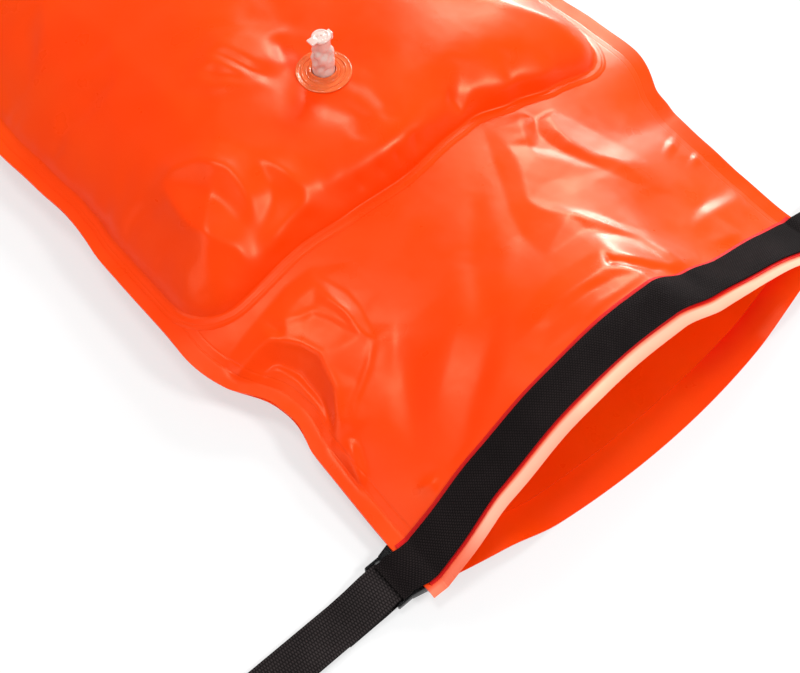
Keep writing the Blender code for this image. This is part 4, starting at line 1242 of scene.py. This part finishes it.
    def make_back(self, material: Material) -> None:
        """The back wall, which lies on the floor."""
        seam = self.shape.length - self.shape.seam
        rows = np.concatenate([np.linspace(0, 0.10, 18), np.linspace(0.107, seam, 60), [self.shape.length]])
        share, distance = np.meshgrid(np.linspace(-1, 1, 61), rows)
        across = share * self.shape.half_width(distance)
        points = self.shape.back(across, distance)
        wall = grid_mesh("back_wall_film", points)
        edge = self.shape.half_width(distance) - np.abs(across)
        set_attribute(wall, "weld", edge - self.shape.seam)
        # painted shade deep inside the back wall, stronger towards the right
        set_attribute(wall, "painted_inner_shade", self.painted_shade_inwards.at(distance) * self.painted_shade_right.at(across))
        thicken(wall, self.shape.film, -1, 1)
        finish_piece(wall, material, Body.BAG, ["back_wall"], 60)

    def panel_grid(self) -> tuple[Array, Array]:
        """Rows and columns of the air panel inside its rounded outline: across and distance."""
        radius = self.weld_radius + self.panel_margin
        start, end = self.weld_start - self.panel_margin, self.weld_end + self.panel_margin
        steps = 2 * round(radius * math.pi / 4 / self.panel_pitch)
        turn = radius * (1 - np.cos(np.linspace(0, math.pi / 2, steps + 1)))
        count = 2 * round((end - start - 2 * radius) / self.panel_pitch / 2)
        straight = np.linspace(start + radius, end - radius, count + 1)[1:-1]
        rows = np.concatenate([start + turn, straight, (end - turn)[::-1]])
        columns = 2 * round(0.37 / self.panel_pitch / 2) + 1
        share, distance = np.meshgrid(np.linspace(0, 1, columns), rows)
        past = np.maximum(start + radius - distance, 0) + np.maximum(distance - end + radius, 0)
        inset = radius - np.sqrt(np.maximum(radius**2 - past**2, 0))
        half = self.shape.half_width(distance)
        left = -half + self.weld_left - self.panel_margin + inset
        right = half - self.weld_right.at(distance) + self.panel_margin - inset
        return left + (right - left) * share, distance

    def make_panel(self, material: Material) -> None:
        """The air panel, inflated by a short cloth simulation and then creased."""
        across, distance = self.panel_grid()
        points = self.panel(across, distance)
        weld = self.weld_distance(across, distance)
        away = self.from_valve(across, distance)
        pinned = (weld > -self.pinned_run) | (away < self.pad_radius)
        points = points + self.air.swelling(points[::2, ::2], pinned[::2, ::2])
        held = smooth(1 + weld / self.hold_run)
        held = np.maximum(held, smooth(1 - (away - self.pad_radius) / self.hold_run))
        points = self.formed(points, across, distance, self.panel_forms, held)
        panel = grid_mesh("air_panel_film", points)
        set_attribute(panel, "weld", weld)
        thicken(panel, self.shape.film, 1, 1)
        foot = Vector((self.valve_x, self.valve_y, self.pad_height))
        hole = rod("hole", self.hole_radius, foot + upwards(-0.01), foot + upwards(0.01), 0, 64)
        combine(panel, hole, "DIFFERENCE")
        finish_piece(panel, material, Body.BAG, ["front_air_panel"], 60)


@dataclass
class Strapping:
    """What every strap on the bag shares: its webbing, and the loop round a buckle's bar."""

    shape: BagShape
    webbing: float = 0.0015
    width: float = 0.025
    bar_z: float = 0.0051
    loop_radius: float = 0.00305


@dataclass
class Mouth(Strapping):
    """The mouth's strips: the red backing, the black band over it, and the stiffener inside the back lip."""

    band_from_lip: float = 0.0065
    backing_from_lip: float = 0.0048
    backing_width: float = 0.0296
    backing: float = 0.0006
    end_inset: float = 0.003
    stiffener_from_lip: float = 0.017
    stiffener_width: float = 0.023
    stiffener_half: float = 0.143
    stiffener: float = 0.0008
    left_tail: float = 0.0128
    bar_x: float = 0.187

    @staticmethod
    def on_surface(surface: Surface, across: Array, distance: Array, lift: float) -> Array:
        """Points lifted off a surface along its normal."""
        step = 0.0004
        here = surface(across, distance)
        sideways = surface(across + step, distance) - surface(across - step, distance)
        onwards = surface(across, distance + step) - surface(across, distance - step)
        normal = np.cross(sideways, onwards)
        return here + normal / np.linalg.norm(normal, axis=-1, keepdims=True) * lift

    def make_strip(
        self, name: str, surface: Surface, span: Pair, reach: float, lift: float, thickness: float
    ) -> Object:
        """A strip laid across a wall.

        Args:
            name: the strip's name.
            surface: the wall's inner face.
            span: its distance from the lip, and its width along the bag.
            reach: how far it goes to each side.
            lift: its lower face's height over the wall's inner face.
            thickness: its thickness.

        Returns:
            The strip.
        """
        start, width = span
        across, distance = np.meshgrid(np.linspace(-reach, reach, 121), np.linspace(start, start + width, 7))
        points = self.on_surface(surface, across, distance, lift)
        strip = grid_mesh(name, points, np.stack([across, distance], -1))
        thicken(strip, thickness, 1)
        return strip

    def make_backing(self, material: Material) -> None:
        """The red strip under the band."""
        reach = self.shape.half_widths.points[0][1] - self.end_inset
        lift = self.shape.film + self.shape.gap
        span = (self.backing_from_lip, self.backing_width)
        strip = self.make_strip("mouth_backing", self.shape.front, span, reach, lift, self.backing)
        finish_piece(strip, material, Body.BAG, ["mouth_backing_strip"])

    def make_stiffener(self, material: Material) -> None:
        """The strip welded inside the back lip."""
        span, half = (self.stiffener_from_lip, self.stiffener_width), self.stiffener_half
        strip = self.make_strip(
            "lip_stiffener_strip", self.shape.back, span, half, self.shape.gap, self.stiffener
        )
        finish_piece(strip, material, Body.BAG, ["lip_stiffener"])

    def make_band(self, material: Material) -> None:
        """The webbing across the mouth, its cut left tail and its right tail round the buckle's bar."""
        lift = self.shape.film + 2 * self.shape.gap + self.backing + self.webbing / 2
        middle = self.band_from_lip + self.width / 2
        half = self.shape.half_widths.points[0][1]
        reach = half - self.end_inset
        sides = np.linspace(-1, 1, 9) * self.width / 2
        spans = np.linspace(-reach, reach, 131)
        across, distance = np.meshgrid(spans, middle + sides, indexing="ij")
        body = self.on_surface(self.shape.front, across, distance, lift)
        body[..., 2] -= self.shape.gap * (np.abs(sides) > self.width / 2 - 0.002)
        edge_left, edge_right = body[0], body[-1]
        past = half + self.webbing
        top = self.bar_z + self.loop_radius
        end = top + self.webbing + self.shape.gap
        bend = self.left_tail / 3
        left = [(-half - self.left_tail, end), (-half - self.left_tail * 0.66, end), (-past - bend, None)]
        right = [(self.bar_x - bend, top + self.webbing / 2)]
        right += arc((self.bar_x, self.bar_z), self.loop_radius, 90, -90, 16)
        low = self.shape.gap + self.webbing / 2
        right += [(self.bar_x - self.left_tail, (low + self.bar_z - self.loop_radius) / 2)]
        right += [(reach - 0.010, low), (reach - 0.020, low)]
        rows_left = [self.tail_row(x, z, edge_left, sides, middle, end) for x, z in left]
        rows_right = [self.tail_row(x, z, edge_right, sides, middle, end) for x, z in right]
        points = np.concatenate([rows_left, body, rows_right])
        band = woven_strip("mouth_band", points, self.webbing)
        finish_piece(band, material, Body.BAG, ["mouth_webbing"], 50)

    def tail_row(
        self, x: float, z: float | None, edge: Array, sides: Array, middle: float, end: float
    ) -> Array:
        """A row of a tail beyond the bag's edge, level across."""
        row = np.empty((len(sides), 3))
        row[:, 0] = x
        row[:, 1] = self.shape.mouth_y + middle + sides
        row[:, 2] = (edge[:, 2] + end) / 2 if z is None else z
        return row


def arc(centre: Pair, radius: float, start: float, end: float, steps: int) -> list[Pair]:
    """Points on an arc, angles in degrees."""
    angles = np.radians(np.linspace(start, end, steps + 1))
    return [(centre[0] + radius * math.cos(angle), centre[1] + radius * math.sin(angle)) for angle in angles]


# ---------------------------------------------------------------- straps


@dataclass
class Straps(Strapping):
    """The leash, the folded waist belt, its keeper and the loop that holds the left buckle."""

    bar_x: float = -0.186
    line_y: float = -0.3185
    leash_length: float = 0.1515
    sewn_run: float = 0.036
    slope_run: float = 0.026
    strap_lift: float = 0.0003
    layer_gap: float = 0.0004
    gap: float = 0.0003
    bundle_shift: float = 0.026
    bundle_half: float = 0.0675
    layers: int = 7
    male_offset: float = -0.031
    belt_sewn: float = 0.020
    keeper_width: float = 0.012
    keeper: float = 0.0012
    keeper_turn: float = 0.0010
    keeper_offset: float = 0.052
    buckle_height: float = 0.0096
    male_length: float = 0.0195
    female_length: float = 0.0370
    female_bar: float = 0.0050

    @property
    def pitch(self) -> float:
        """From one folded layer's middle to the next."""
        return self.webbing + self.layer_gap

    @property
    def bundle(self) -> Vector:
        """The middle of the folded belt, on the floor."""
        return Vector((self.bar_x - self.leash_length, self.line_y - self.bundle_shift, 0))

    def layer_heights(self) -> list[float]:
        """Middle heights of the belt's layers; the leash's end passes over the lowest."""
        first = self.strap_lift + self.webbing + self.gap + self.webbing / 2
        return [first] + [first + self.pitch * (2 + layer) for layer in range(self.layers - 1)]

    def buckle_z(self) -> float:
        """Height of the waist buckle's middle."""
        return self.layer_heights()[-1] + self.webbing / 2 + self.gap + self.buckle_height / 2

    def ribbon(self, name: str, path: Sequence[Pair], place: Matrix) -> Object:
        """A flat strap that follows a path of pairs, along and up, and is placed by a matrix."""
        points = swept(resample(path, 0.0012), self.width, 7)
        strap = woven_strip(name, points, self.webbing)
        strap.data.transform(place)
        return strap

    def make_leash(self, material: Material) -> None:
        """The leash, sewn round the left buckle's bar and round the belt's lowest layer."""
        radius = self.loop_radius
        low = self.strap_lift + self.webbing / 2
        main = low + self.pitch
        over = self.layer_heights()[0] + self.pitch
        half = self.width / 2
        middle = self.bundle.x
        far = middle - half - self.layer_gap
        end_radius = (over - low) / 2
        path = [(self.bar_x - self.sewn_run, low), (self.bar_x - radius * 3, low)]
        path += arc((self.bar_x, self.bar_z), radius, -90, 90, 14)
        slope = ((0.35, self.bar_z + radius * 0.72), (0.75, main + self.webbing), (1.2, main))
        path += [(self.bar_x - self.slope_run * share, height) for share, height in slope]
        path += [(middle + half + self.webbing * 3, main), (middle + half + self.webbing, over)]
        path += arc((far, low + end_radius), end_radius, 90, 270, 7)
        path += [(far + self.width + 0.028, low)]
        strap = self.ribbon("leash", path, Matrix.Translation((0, self.line_y, 0)))
        finish_piece(strap, material, Body.BAG, ["leash_strap"], 50)

    def make_belt(self, material: Material) -> None:
        """The waist belt, folded flat between its two buckle halves."""
        heights = self.layer_heights()
        radius = self.loop_radius
        top = self.buckle_z()
        male = self.male_offset
        female = male + self.male_length + self.gap + self.female_length - self.female_bar
        end = self.bundle_half
        fold = self.pitch
        outer = end + self.webbing + 0.0006 + fold / 2
        shelf = heights[-1] + fold
        sewn, first, second = (female + self.belt_sewn * share for share in (0.55, 0.5, 0.8))
        path = [(sewn, shelf), (female + radius, shelf)]
        path += arc((female, top), radius, -90, -270, 14)
        path += [(first, top + radius * 0.5), (second, shelf + fold), (outer - 2 * fold, shelf + fold)]
        path += arc((outer - fold, shelf), fold, 90, 0, 4)
        path += arc((outer - fold, heights[0] + fold), fold, 0, -90, 4)
        for layer in range(self.layers - 1):
            rise = (heights[layer + 1] - heights[layer]) / 2
            side = -1 if layer % 2 == 0 else 1
            path += arc((side * end, heights[layer] + rise), rise, -90, -90 + side * 180, 7)
        rise = (top + radius - heights[-1]) / 2
        path += arc((-end + rise, heights[-1] + rise), rise, -90, -270, 7)
        path += arc((male, top), radius, 90, -90, 14)
        path += [(male - self.belt_sewn, shelf)]
        strap = self.ribbon("folded_waist_belt", path, self.belt_place())
        finish_piece(strap, material, Body.BAG, ["waist_belt"], 50)

    def belt_place(self) -> Matrix:
        """The folded belt's frame: its own length runs along the bag."""
        return Matrix.Translation(self.bundle) @ Matrix.Rotation(math.pi / 2, 4, "Z")

    def make_loop(self, material: Material) -> None:
        """The loop that holds the left buckle's female half under the bag's corner."""
        bar = self.bar_x + self.male_length + self.gap + self.female_length - self.female_bar
        radius = self.loop_radius
        start = bar + radius
        across = np.linspace(start + 0.001, start + 0.0225, 8)
        under = self.shape.back(across, np.full(8, 0.019))[:, 2] - self.shape.film
        heights = under - 0.0005 - self.webbing / 2
        upper = list(zip((across - bar).tolist(), (heights - self.bar_z).tolist()))
        path = upper[::-1] + arc((0, 0), radius, 90, 270, 14)
        path += [(radius, -radius), (upper[-1][0], upper[-1][1] - self.webbing - self.layer_gap)]
        strap = self.ribbon("corner_loop", path, Matrix.Translation((bar, self.line_y, self.bar_z)))
        finish_piece(strap, material, Body.BAG, ["left_buckle_loop"], 50)

    def make_keeper(self, material: Material) -> None:
        """The elastic loop round the folded belt."""
        heights = self.layer_heights()
        half = self.width / 2 + self.gap + self.keeper / 2
        low = heights[0] - self.webbing / 2 - self.gap - self.keeper / 2
        high = heights[-1] + 3 * self.pitch + self.keeper / 2
        turn = self.keeper_turn
        side = half - turn
        path = []
        for x, z, angle in ((side, high - turn, 90), (side, low + turn, 0), (-side, low + turn, -90),
                            (-side, high - turn, -180)):
            path += arc((x, z), turn, angle, angle - 90, 4)
        points = swept(np.array(path + path[:1]), self.keeper_width, 5)
        points += np.array(self.bundle) + (0, self.keeper_offset, 0)
        keeper = woven_strip("elastic_keeper", points, self.keeper, True)
        finish_piece(keeper, material, Body.KEEPER, ["belt_keeper"], 50)


def resample(path: Sequence[Pair], pitch: float) -> Array:
    """A path with no run longer than a pitch, its own points kept."""
    points = [path[0]]
    for start, end in zip(path, path[1:]):
        count = max(1, math.ceil(math.dist(start, end) / pitch / 3))
        way = np.array(end) - start
        points += [tuple(np.array(start) + way * step / count) for step in range(1, count + 1)]
    return np.array(points)


def swept(path: Array, width: float, columns: int) -> Array:
    """Rows of points across a path of pairs, along and up."""
    points = np.empty((len(path), columns, 3))
    points[..., 0] = path[:, :1]
    points[..., 1] = np.linspace(-1, 1, columns) * width / 2
    points[..., 2] = path[:, 1:]
    return points


# ---------------------------------------------------------------- buckles


@dataclass
class Buckle:
    """A 25 mm side release buckle, modelled once and copied to its three places."""

    half_width: float = 0.0175
    height: float = 0.0096
    wall: float = 0.0016
    bar_radius: float = 0.0020
    base_height: float = 0.0088
    front: float = 0.0195
    neck: float = 0.0072
    taper: float = 0.85
    cheek_height: float = 0.0054
    strap_half: float = 0.0131
    tongue_length: float = 0.020
    tongue_half: float = 0.0032
    tongue_height: float = 0.0021
    lap: float = 0.0012
    ribs: int = 5
    rib_start: float = 0.0018
    rib_pitch: float = 0.0020
    rib_width: float = 0.0010
    rib_rise: float = 0.00045
    prong_length: float = 0.0210
    prong_half: float = 0.0022
    prong_height: float = 0.0023
    head_length: float = 0.0095
    prong_centre: float = 0.0118
    root_gap: float = 0.0005
    gap: float = 0.0003
    female_body: float = 0.0262
    female_end: float = 0.0108
    frame_end: float = 0.0030
    dish_radius: float = 0.0075
    dish_place: float = 0.0125

    def male_base(self) -> Object:
        """The male half's base, tapered and ribbed for the thumb; local +X points to the female half."""
        half, height = self.half_width, self.base_height / 2
        base = block("male base", (self.neck, -half, -height), (self.front, half, height))
        with editing(base, lambda face: face.normal.x < -0.9):
            bpy.ops.transform.resize(value=(1, self.taper, 0.72), center_override=(self.neck, 0, 0))
        self.add_ribs(base, [self.neck + self.rib_start + self.rib_pitch * step for step in range(self.ribs)])
        round_edges(base, 0.0004, 2, 50)
        for side in (-1, 1):
            outer, inner = side * half * self.taper, side * self.strap_half
            low = (-self.frame_end, min(outer, inner), -self.cheek_height / 2)
            high = (self.neck + 2 * self.lap, max(outer, inner), self.cheek_height / 2)
            combine(base, block("cheek", low, high, 0.0008), "UNION")
        reach = half * (self.taper - 0.02)
        combine(base, rod("bar", self.bar_radius, (0, -reach, 0), (0, reach, 0)), "UNION")
        tip = self.front + self.tongue_length
        low = (self.front - self.lap, -self.tongue_half, -self.tongue_height)
        tongue = block("tongue", low, (tip, self.tongue_half, self.tongue_height))
        with editing(tongue, lambda face: face.normal.x > 0.9):
            bpy.ops.transform.resize(value=(1, 0.62, 0.8), center_override=(tip, 0, 0))
        round_edges(tongue, 0.0006)
        combine(base, tongue, "UNION")
        return base

    def add_ribs(self, item: Object, places: Sequence[float]) -> None:
        """Raise grip ribs across the top and underside of a piece."""
        spans = [(place, place + self.rib_width) for place in places]
        for cut in (cut for span in spans for cut in span):
            with editing(item, lambda face: True):
                bpy.ops.mesh.bisect(plane_co=(cut, 0, 0), plane_no=(1, 0, 0))

        def on_rib(face: Face) -> bool:
            """Whether a face lies on a rib's strip."""
            return abs(face.normal.z) > 0.9 and any(low < face.center.x < high for low, high in spans)

        with editing(item, on_rib):
            bpy.ops.mesh.inset(thickness=0.0002, use_boundary=True)
            bpy.ops.mesh.extrude_region_shrink_fatten(TRANSFORM_OT_shrink_fatten={"value": self.rib_rise})

    def prong(self, side: int) -> Object:
        """One sprung prong from its root, its hooked head turned to its own side."""
        width, height = self.prong_half, self.prong_height
        outer = self.half_width - self.prong_centre - self.gap
        blade = block("prong", (0, -width, -height), (self.prong_length, width, height))
        start = self.prong_length - self.head_length
        low = (start, min(0, side * outer), -height * 0.96)
        high = (self.prong_length - 0.0006, max(0, side * outer), height * 0.96)
        head = block("head", low, high)
        with editing(head, lambda face: face.normal.x > 0.9):
            bpy.ops.transform.resize(value=(1, 0.45, 0.9), center_override=(high[0], 0, 0))
        combine(blade, head, "UNION")
        round_edges(blade, 0.0005)
        return blade

    def female(self) -> Object:
        """The female half; the frame is at its mouth, local +X points inwards."""
        half, height = self.half_width, self.height / 2
        length = self.female_body + self.female_end
        body = block("female half", (0, -half, -height), (length, half, height), 0.0012, 3)
        inner, past = height - self.wall, 0.004
        start = self.prong_length - self.head_length + self.root_gap - self.gap
        bar = length - self.frame_end - self.bar_radius
        for name, first, last, side, up in (
            ("socket", -past, self.female_body - self.wall, half - self.wall, inner),
            ("window", start - 0.0005, self.prong_length + 0.001, half + past, inner),
            ("fork", bar - self.bar_radius - 0.0052, length + past, self.strap_half, 0.01),
        ):
            combine(body, block(name, (first, -side, -up), (last, side, up)), "DIFFERENCE")
        reach = half * 0.94
        combine(body, rod("bar", self.bar_radius, (bar, -reach, 0), (bar, reach, 0)), "UNION")
        for side in (-1, 1):
            low, high = ((self.dish_place, 0, side * (height + up)) for up in (-0.0005, 0.002))
            combine(body, rod("dish", self.dish_radius, low, high, 0, 48), "DIFFERENCE")
        return body


@dataclass
class Buckles:
    """The three buckles: left corner, right corner and waist."""

    straps: Straps
    parts: Buckle = field(default_factory=Buckle)
    right_bar: Triple = (0.187, -0.320, 0.0051)

    def make(self, material: Material) -> None:
        """Model the parts once, and copy them to the three places."""
        parts, straps = self.parts, self.straps
        left = Matrix.Translation((straps.bar_x, straps.line_y, straps.bar_z))
        right = Matrix.Translation(self.right_bar)
        waist = straps.belt_place() @ Matrix.Translation((straps.male_offset, 0, straps.buckle_z()))
        base, female = parts.male_base(), parts.female()
        prongs = {side: parts.prong(side) for side in (-1, 1)}
        for name, place, body, node in (
            ("leash_male_base", left, Body.BAG, "leash_buckle_base"),
            ("right_male_base", right, Body.RIGHT, "right_buckle_base"),
            ("waist_male_base", waist, Body.BAG, "waist_buckle_base"),
        ):
            finish_piece(copy_at(base, name, place), material, body, [node], 40)
        seat = Matrix.Translation((parts.front + parts.gap, 0, 0))
        for name, place, node in (
            ("left_female", left, "left_buckle_female"),
            ("waist_female", waist, "waist_buckle_female"),
        ):
            finish_piece(copy_at(female, name, place @ seat), material, Body.BAG, [node], 40)
        root = parts.front + parts.root_gap
        for name, place, side, body, node in (
            ("leash_front_prong_piece", left, -1, Body.LEASH_FRONT, "leash_buckle_front_prong"),
            ("leash_rear_prong_piece", left, 1, Body.LEASH_REAR, "leash_buckle_rear_prong"),
            ("right_front_prong_piece", right, -1, Body.RIGHT_FRONT, "right_buckle_front_prong"),
            ("right_rear_prong_piece", right, 1, Body.RIGHT_REAR, "right_buckle_rear_prong"),
            ("waist_left_prong_piece", waist, 1, Body.WAIST_LEFT, "waist_buckle_left_prong"),
            ("waist_right_prong_piece", waist, -1, Body.WAIST_RIGHT, "waist_buckle_right_prong"),
        ):
            pivot = place @ Matrix.Translation((root, side * parts.prong_centre, 0))
            finish_piece(copy_at(prongs[side], name, pivot), material, body, [node], 40)
        discard(base, female, *prongs.values())


# ---------------------------------------------------------------- valve


def straight_step(value: float, start: float, end: float) -> float:
    """0 at the start to 1 at the end in a straight line, level past both."""
    return max(0.0, min(1.0, (value - start) / (end - start)))


@dataclass
class Valve:
    """The clear valve: ringed flange, crinkled stem with its lug, plug on its tether, and inner flap."""

    centre: Triple = (-0.012, -0.060, 0.0786)
    flange_radius: float = 0.0180
    stem_radius: float = 0.0056
    bore_radius: float = 0.0043
    ring_bore: float = 0.0077
    most_crumpled: float = 1.33
    above: float = 0.0290
    below: float = 0.0040
    lug_reach: float = 0.0022
    cap_radius: float = 0.0060
    cap: float = 0.0022
    plug_radius: float = 0.0037
    arm_half: float = 0.0021
    tab_reach: float = 0.0030
    flap_radius: float = 0.0050
    flap: float = 0.0008
    gap: float = 0.0003
    collar_top: float = 0.0045
    ring_steps: tuple[Pair, ...] = (
        (0.0176, 0.0009), (0.0168, 0.0009), (0.0164, 0.0005), (0.0148, 0.0005), (0.0144, 0.0011),
        (0.0138, 0.0011), (0.0134, 0.0006), (0.0116, 0.0006), (0.0112, 0.0012), (0.0108, 0.0012),
        (0.0105, 0.0009), (0.0101, 0.0012), (0.0096, 0.0024), (0.0092, 0.0030), (0.0080, 0.0030),
    )

    def make(self, material: Material, ring: Material) -> None:
        """Model the valve's pieces."""
        self.make_flange(ring)
        self.make_stem(material)
        self.make_plug(material)
        self.make_flap(material)

    def make_flange(self, material: Material) -> None:
        """The welded ring, with raised rings round its collar."""
        profile = [(self.flange_radius, 0), (self.flange_radius, 0.0005), *self.ring_steps]
        profile += [(self.ring_bore, 0.0027), (self.ring_bore, 0)]
        flange = lathe("valve_ring", profile, self.centre)
        finish_piece(flange, material, Body.BAG, ["valve_flange"], 50)

    def make_stem(self, material: Material) -> None:
        """The push-in tube, its soft wall crinkled above the collar."""
        heights = np.linspace(-self.below, self.above, 26)
        profile = [(self.stem_radius, height) for height in heights]
        profile += [(self.bore_radius, height) for height in heights[::-1]]
        stem = lathe("valve_tube", profile, self.centre, 40)
        x, y, z = self.centre
        for vert in stem.data.vertices:
            share = self.crumpled(vert.co.z - z, math.atan2(vert.co.y - y, vert.co.x - x))
            vert.co.x = x + (vert.co.x - x) * share
            vert.co.y = y + (vert.co.y - y) * share
        low = (self.bore_radius + self.gap, -self.arm_half, self.above - 0.0036)
        high = (self.stem_radius + self.lug_reach, self.arm_half, self.above - self.gap)
        lug = block("lug", low, high, 0.0004)
        lug.data.transform(Matrix.Translation(self.centre))
        combine(stem, lug, "UNION")
        finish_piece(stem, material, Body.STEM, ["valve_stem"], 60)

    def crumpled(self, level: float, angle: float) -> float:
        """How far the tube's soft wall stands out.

        Args:
            level: the height above the ring.
            angle: the direction from the tube's middle.

        Returns:
            The share of the tube's own radius: crinkles and a bulge above the collar, and a thick foot.
        """
        collar, top = self.collar_top, self.above - self.collar_top
        soft = straight_step(level, collar, collar + 0.004) * straight_step(level, top, top - 0.003)
        dent = 0.17 * math.sin(3 * angle + 520 * level) + 0.14 * math.sin(5 * angle - 900 * level + 1)
        lean = 1 + 0.5 * math.cos(angle + 0.9)
        bulge = 0.32 * math.exp(-(((level - 0.0125) / 0.0060) ** 2)) * lean
        foot = straight_step(level, -0.002, 0) * straight_step(level, collar + 0.004, collar)
        return min(1 + soft * (dent + bulge) + 0.28 * foot, self.most_crumpled)

    def make_plug(self, material: Material) -> None:
        """The plug: ridged cap, stub, tether arm and pull tab."""
        top = Vector(self.centre) + upwards(self.above + self.gap)
        cap, rim = self.cap, self.cap_radius
        profile = [(0.0005, 0), (0.0040, 0), (rim - 0.0004, 0), (rim, 0.0004), (rim, cap - 0.0007)]
        profile += [(rim - 0.0006, cap - 0.0001), (0.0046, cap), (0.0042, cap - 0.0004)]
        profile += [(0.0030, cap - 0.0004), (0.0026, cap), (0.0005, cap)]
        plug = lathe("valve_cap", profile, top, 40)
        with editing(plug, lambda face: False):
            bpy.ops.mesh.select_mode(type="EDGE")
            bpy.ops.mesh.select_non_manifold()
            bpy.ops.mesh.edge_face_add()
        stub = rod("stub", self.plug_radius, top + upwards(-0.0030), top + upwards(cap * 0.6), 0.0005)
        combine(plug, stub, "UNION")
        pivot = self.stem_radius + self.lug_reach
        arm = block("arm", (0, -self.arm_half, 0), (pivot, self.arm_half, 0.0012), 0.0003)
        tab = block("tab", (-rim - self.tab_reach, -0.0030, cap - 0.0012), (0, 0.0030, cap * 0.96), 0.0003)
        for piece in (arm, tab):
            piece.data.transform(Matrix.Translation(top))
            combine(plug, piece, "UNION")
        finish_piece(plug, material, Body.PLUG, ["valve_plug"], 50)

    def make_flap(self, material: Material) -> None:
        """The non-return flap under the tube."""
        foot = Vector(self.centre) + upwards(-self.below - self.gap)
        flap = rod("valve_flap_disc", self.flap_radius, foot + upwards(-self.flap), foot, 0.0002, 40)
        finish_piece(flap, material, Body.FLAP, ["valve_flap"], 50)


# ---------------------------------------------------------------- studio


@dataclass(frozen=True)
class Lamp:
    """A soft square light: the way to it from the bag, its distance, size and power."""

    name: str
    way: Triple
    distance: float
    size: float
    power: float

    def make(self, aim: Vector) -> None:
        """Hang the light so that it faces a point."""
        data = bpy.data.lights.new(self.name, "AREA")
        data.shape = "SQUARE"
        data.size = self.size
        data.energy = self.power
        light = link(bpy.data.objects.new(self.name, data))
        way = Vector(self.way).normalized()
        light.location = aim + way * self.distance
        light.rotation_euler = way.to_track_quat("Z", "Y").to_euler()


@dataclass
class Studio:
    """Camera, white sweep and soft lights."""

    location: Triple = (-0.3309, -0.50027, 0.67229)
    azimuth: float = -0.71217
    elevation: float = 1.03993
    roll: float = -0.0088
    focal_pixels: float = 1255.0
    image_width: float = 800.0
    finish: FloorFinish = field(default_factory=FloorFinish)
    aim: Triple = (-0.05, -0.15, 0.0)
    surround: float = 0.34
    lamps: tuple[Lamp, ...] = (
        Lamp("key softbox", (0.70, 0.44, 0.58), 1.7, 0.44, 14),
        Lamp("side softbox", (0.89, 0.42, 0.20), 1.7, 0.36, 18),
        Lamp("overhead softbox", (0.33, -0.60, 0.73), 1.6, 0.32, 12),
        Lamp("back softbox", (-0.09, 0.20, 0.97), 1.7, 0.40, 7),
        Lamp("left fill", (-0.8, 0.1, 0.6), 2.0, 1.2, 9),
    )

    def make_camera(self) -> None:
        """The photograph's point of view."""
        lean, turn = self.elevation, self.azimuth
        forward = Vector((-math.sin(turn) * math.cos(lean), math.cos(turn) * math.cos(lean), -math.sin(lean)))
        right = Vector((math.cos(turn), math.sin(turn), 0))
        up = right.cross(forward)
        across = right * math.cos(self.roll) + up * math.sin(self.roll)
        upright = up * math.cos(self.roll) - right * math.sin(self.roll)
        data = bpy.data.cameras.new("camera")
        data.sensor_width = 36
        data.lens = self.focal_pixels / self.image_width * data.sensor_width
        data.clip_start = 0.01
        camera = link(bpy.data.objects.new("camera", data))
        matrix = Matrix((across, upright, -forward)).transposed().to_4x4()
        matrix.translation = self.location
        camera.matrix_world = matrix
        bpy.context.scene.camera = camera

    def make_floor(self) -> None:
        """A large level sweep with a finish of its own."""
        deselect()
        bpy.ops.mesh.primitive_plane_add(size=8, location=(0, 0, 0))
        floor = bpy.context.object
        floor.name = "floor"
        floor.data.materials.append(self.finish.material())

    def make_lights(self) -> None:
        """The lamps and the pale world around them."""
        for lamp in self.lamps:
            lamp.make(Vector(self.aim))
        world = bpy.data.worlds.new("white surround")
        bpy.context.scene.world = world
        world.use_nodes = True
        background = world.node_tree.nodes["Background"]
        background.inputs["Strength"].default_value = self.surround
        background.inputs["Color"].default_value = (1, 1, 1, 1)

    def make(self) -> None:
        """Set the stage."""
        self.make_camera()
        self.make_floor()
        self.make_lights()
        bpy.context.scene.view_settings.view_transform = "Standard"


def write_sizes() -> None:
    """Bring the scene's object matrices up to date."""
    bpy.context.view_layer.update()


def main() -> None:
    """Build and dress the buoy, sub-assembly by sub-assembly."""
    logging.basicConfig(level=logging.INFO, format="%(message)s")
    shape = BagShape()
    film_material = FilmFinish().material()
    band_material = WebbingFinish("black band weave", 0.0019, 0.0012, 0.00025).material()
    # a stronger painted highlight on the strap's threads than on the band's
    strap_finish = WebbingFinish("black strap weave", 0.0016, 0.0021, 0.00040, light=(0.060, 0.048, 0.048))
    strap_material = strap_finish.material()
    plastic = PlasticFinish().material()
    clear = ClearFinish().material()
    ring = ClearFinish("clear welded ring", (1.0, 0.24, 0.07), (1.0, 0.14, 0.03), 0.30).material()
    Studio().make()
    film = Film(shape)
    film.make_back(film_material)
    film.make_front(film_material)
    film.make_panel(film_material)
    mouth = Mouth(shape)
    mouth.make_backing(BackingFinish().material())
    mouth.make_stiffener(film_material)
    mouth.make_band(band_material)
    straps = Straps(shape)
    straps.make_leash(strap_material)
    straps.make_belt(strap_material)
    straps.make_loop(strap_material)
    straps.make_keeper(strap_material)
    Buckles(straps).make(plastic)
    Valve().make(clear, ring)
    write_sizes()


if __name__ == "__main__":
    main()
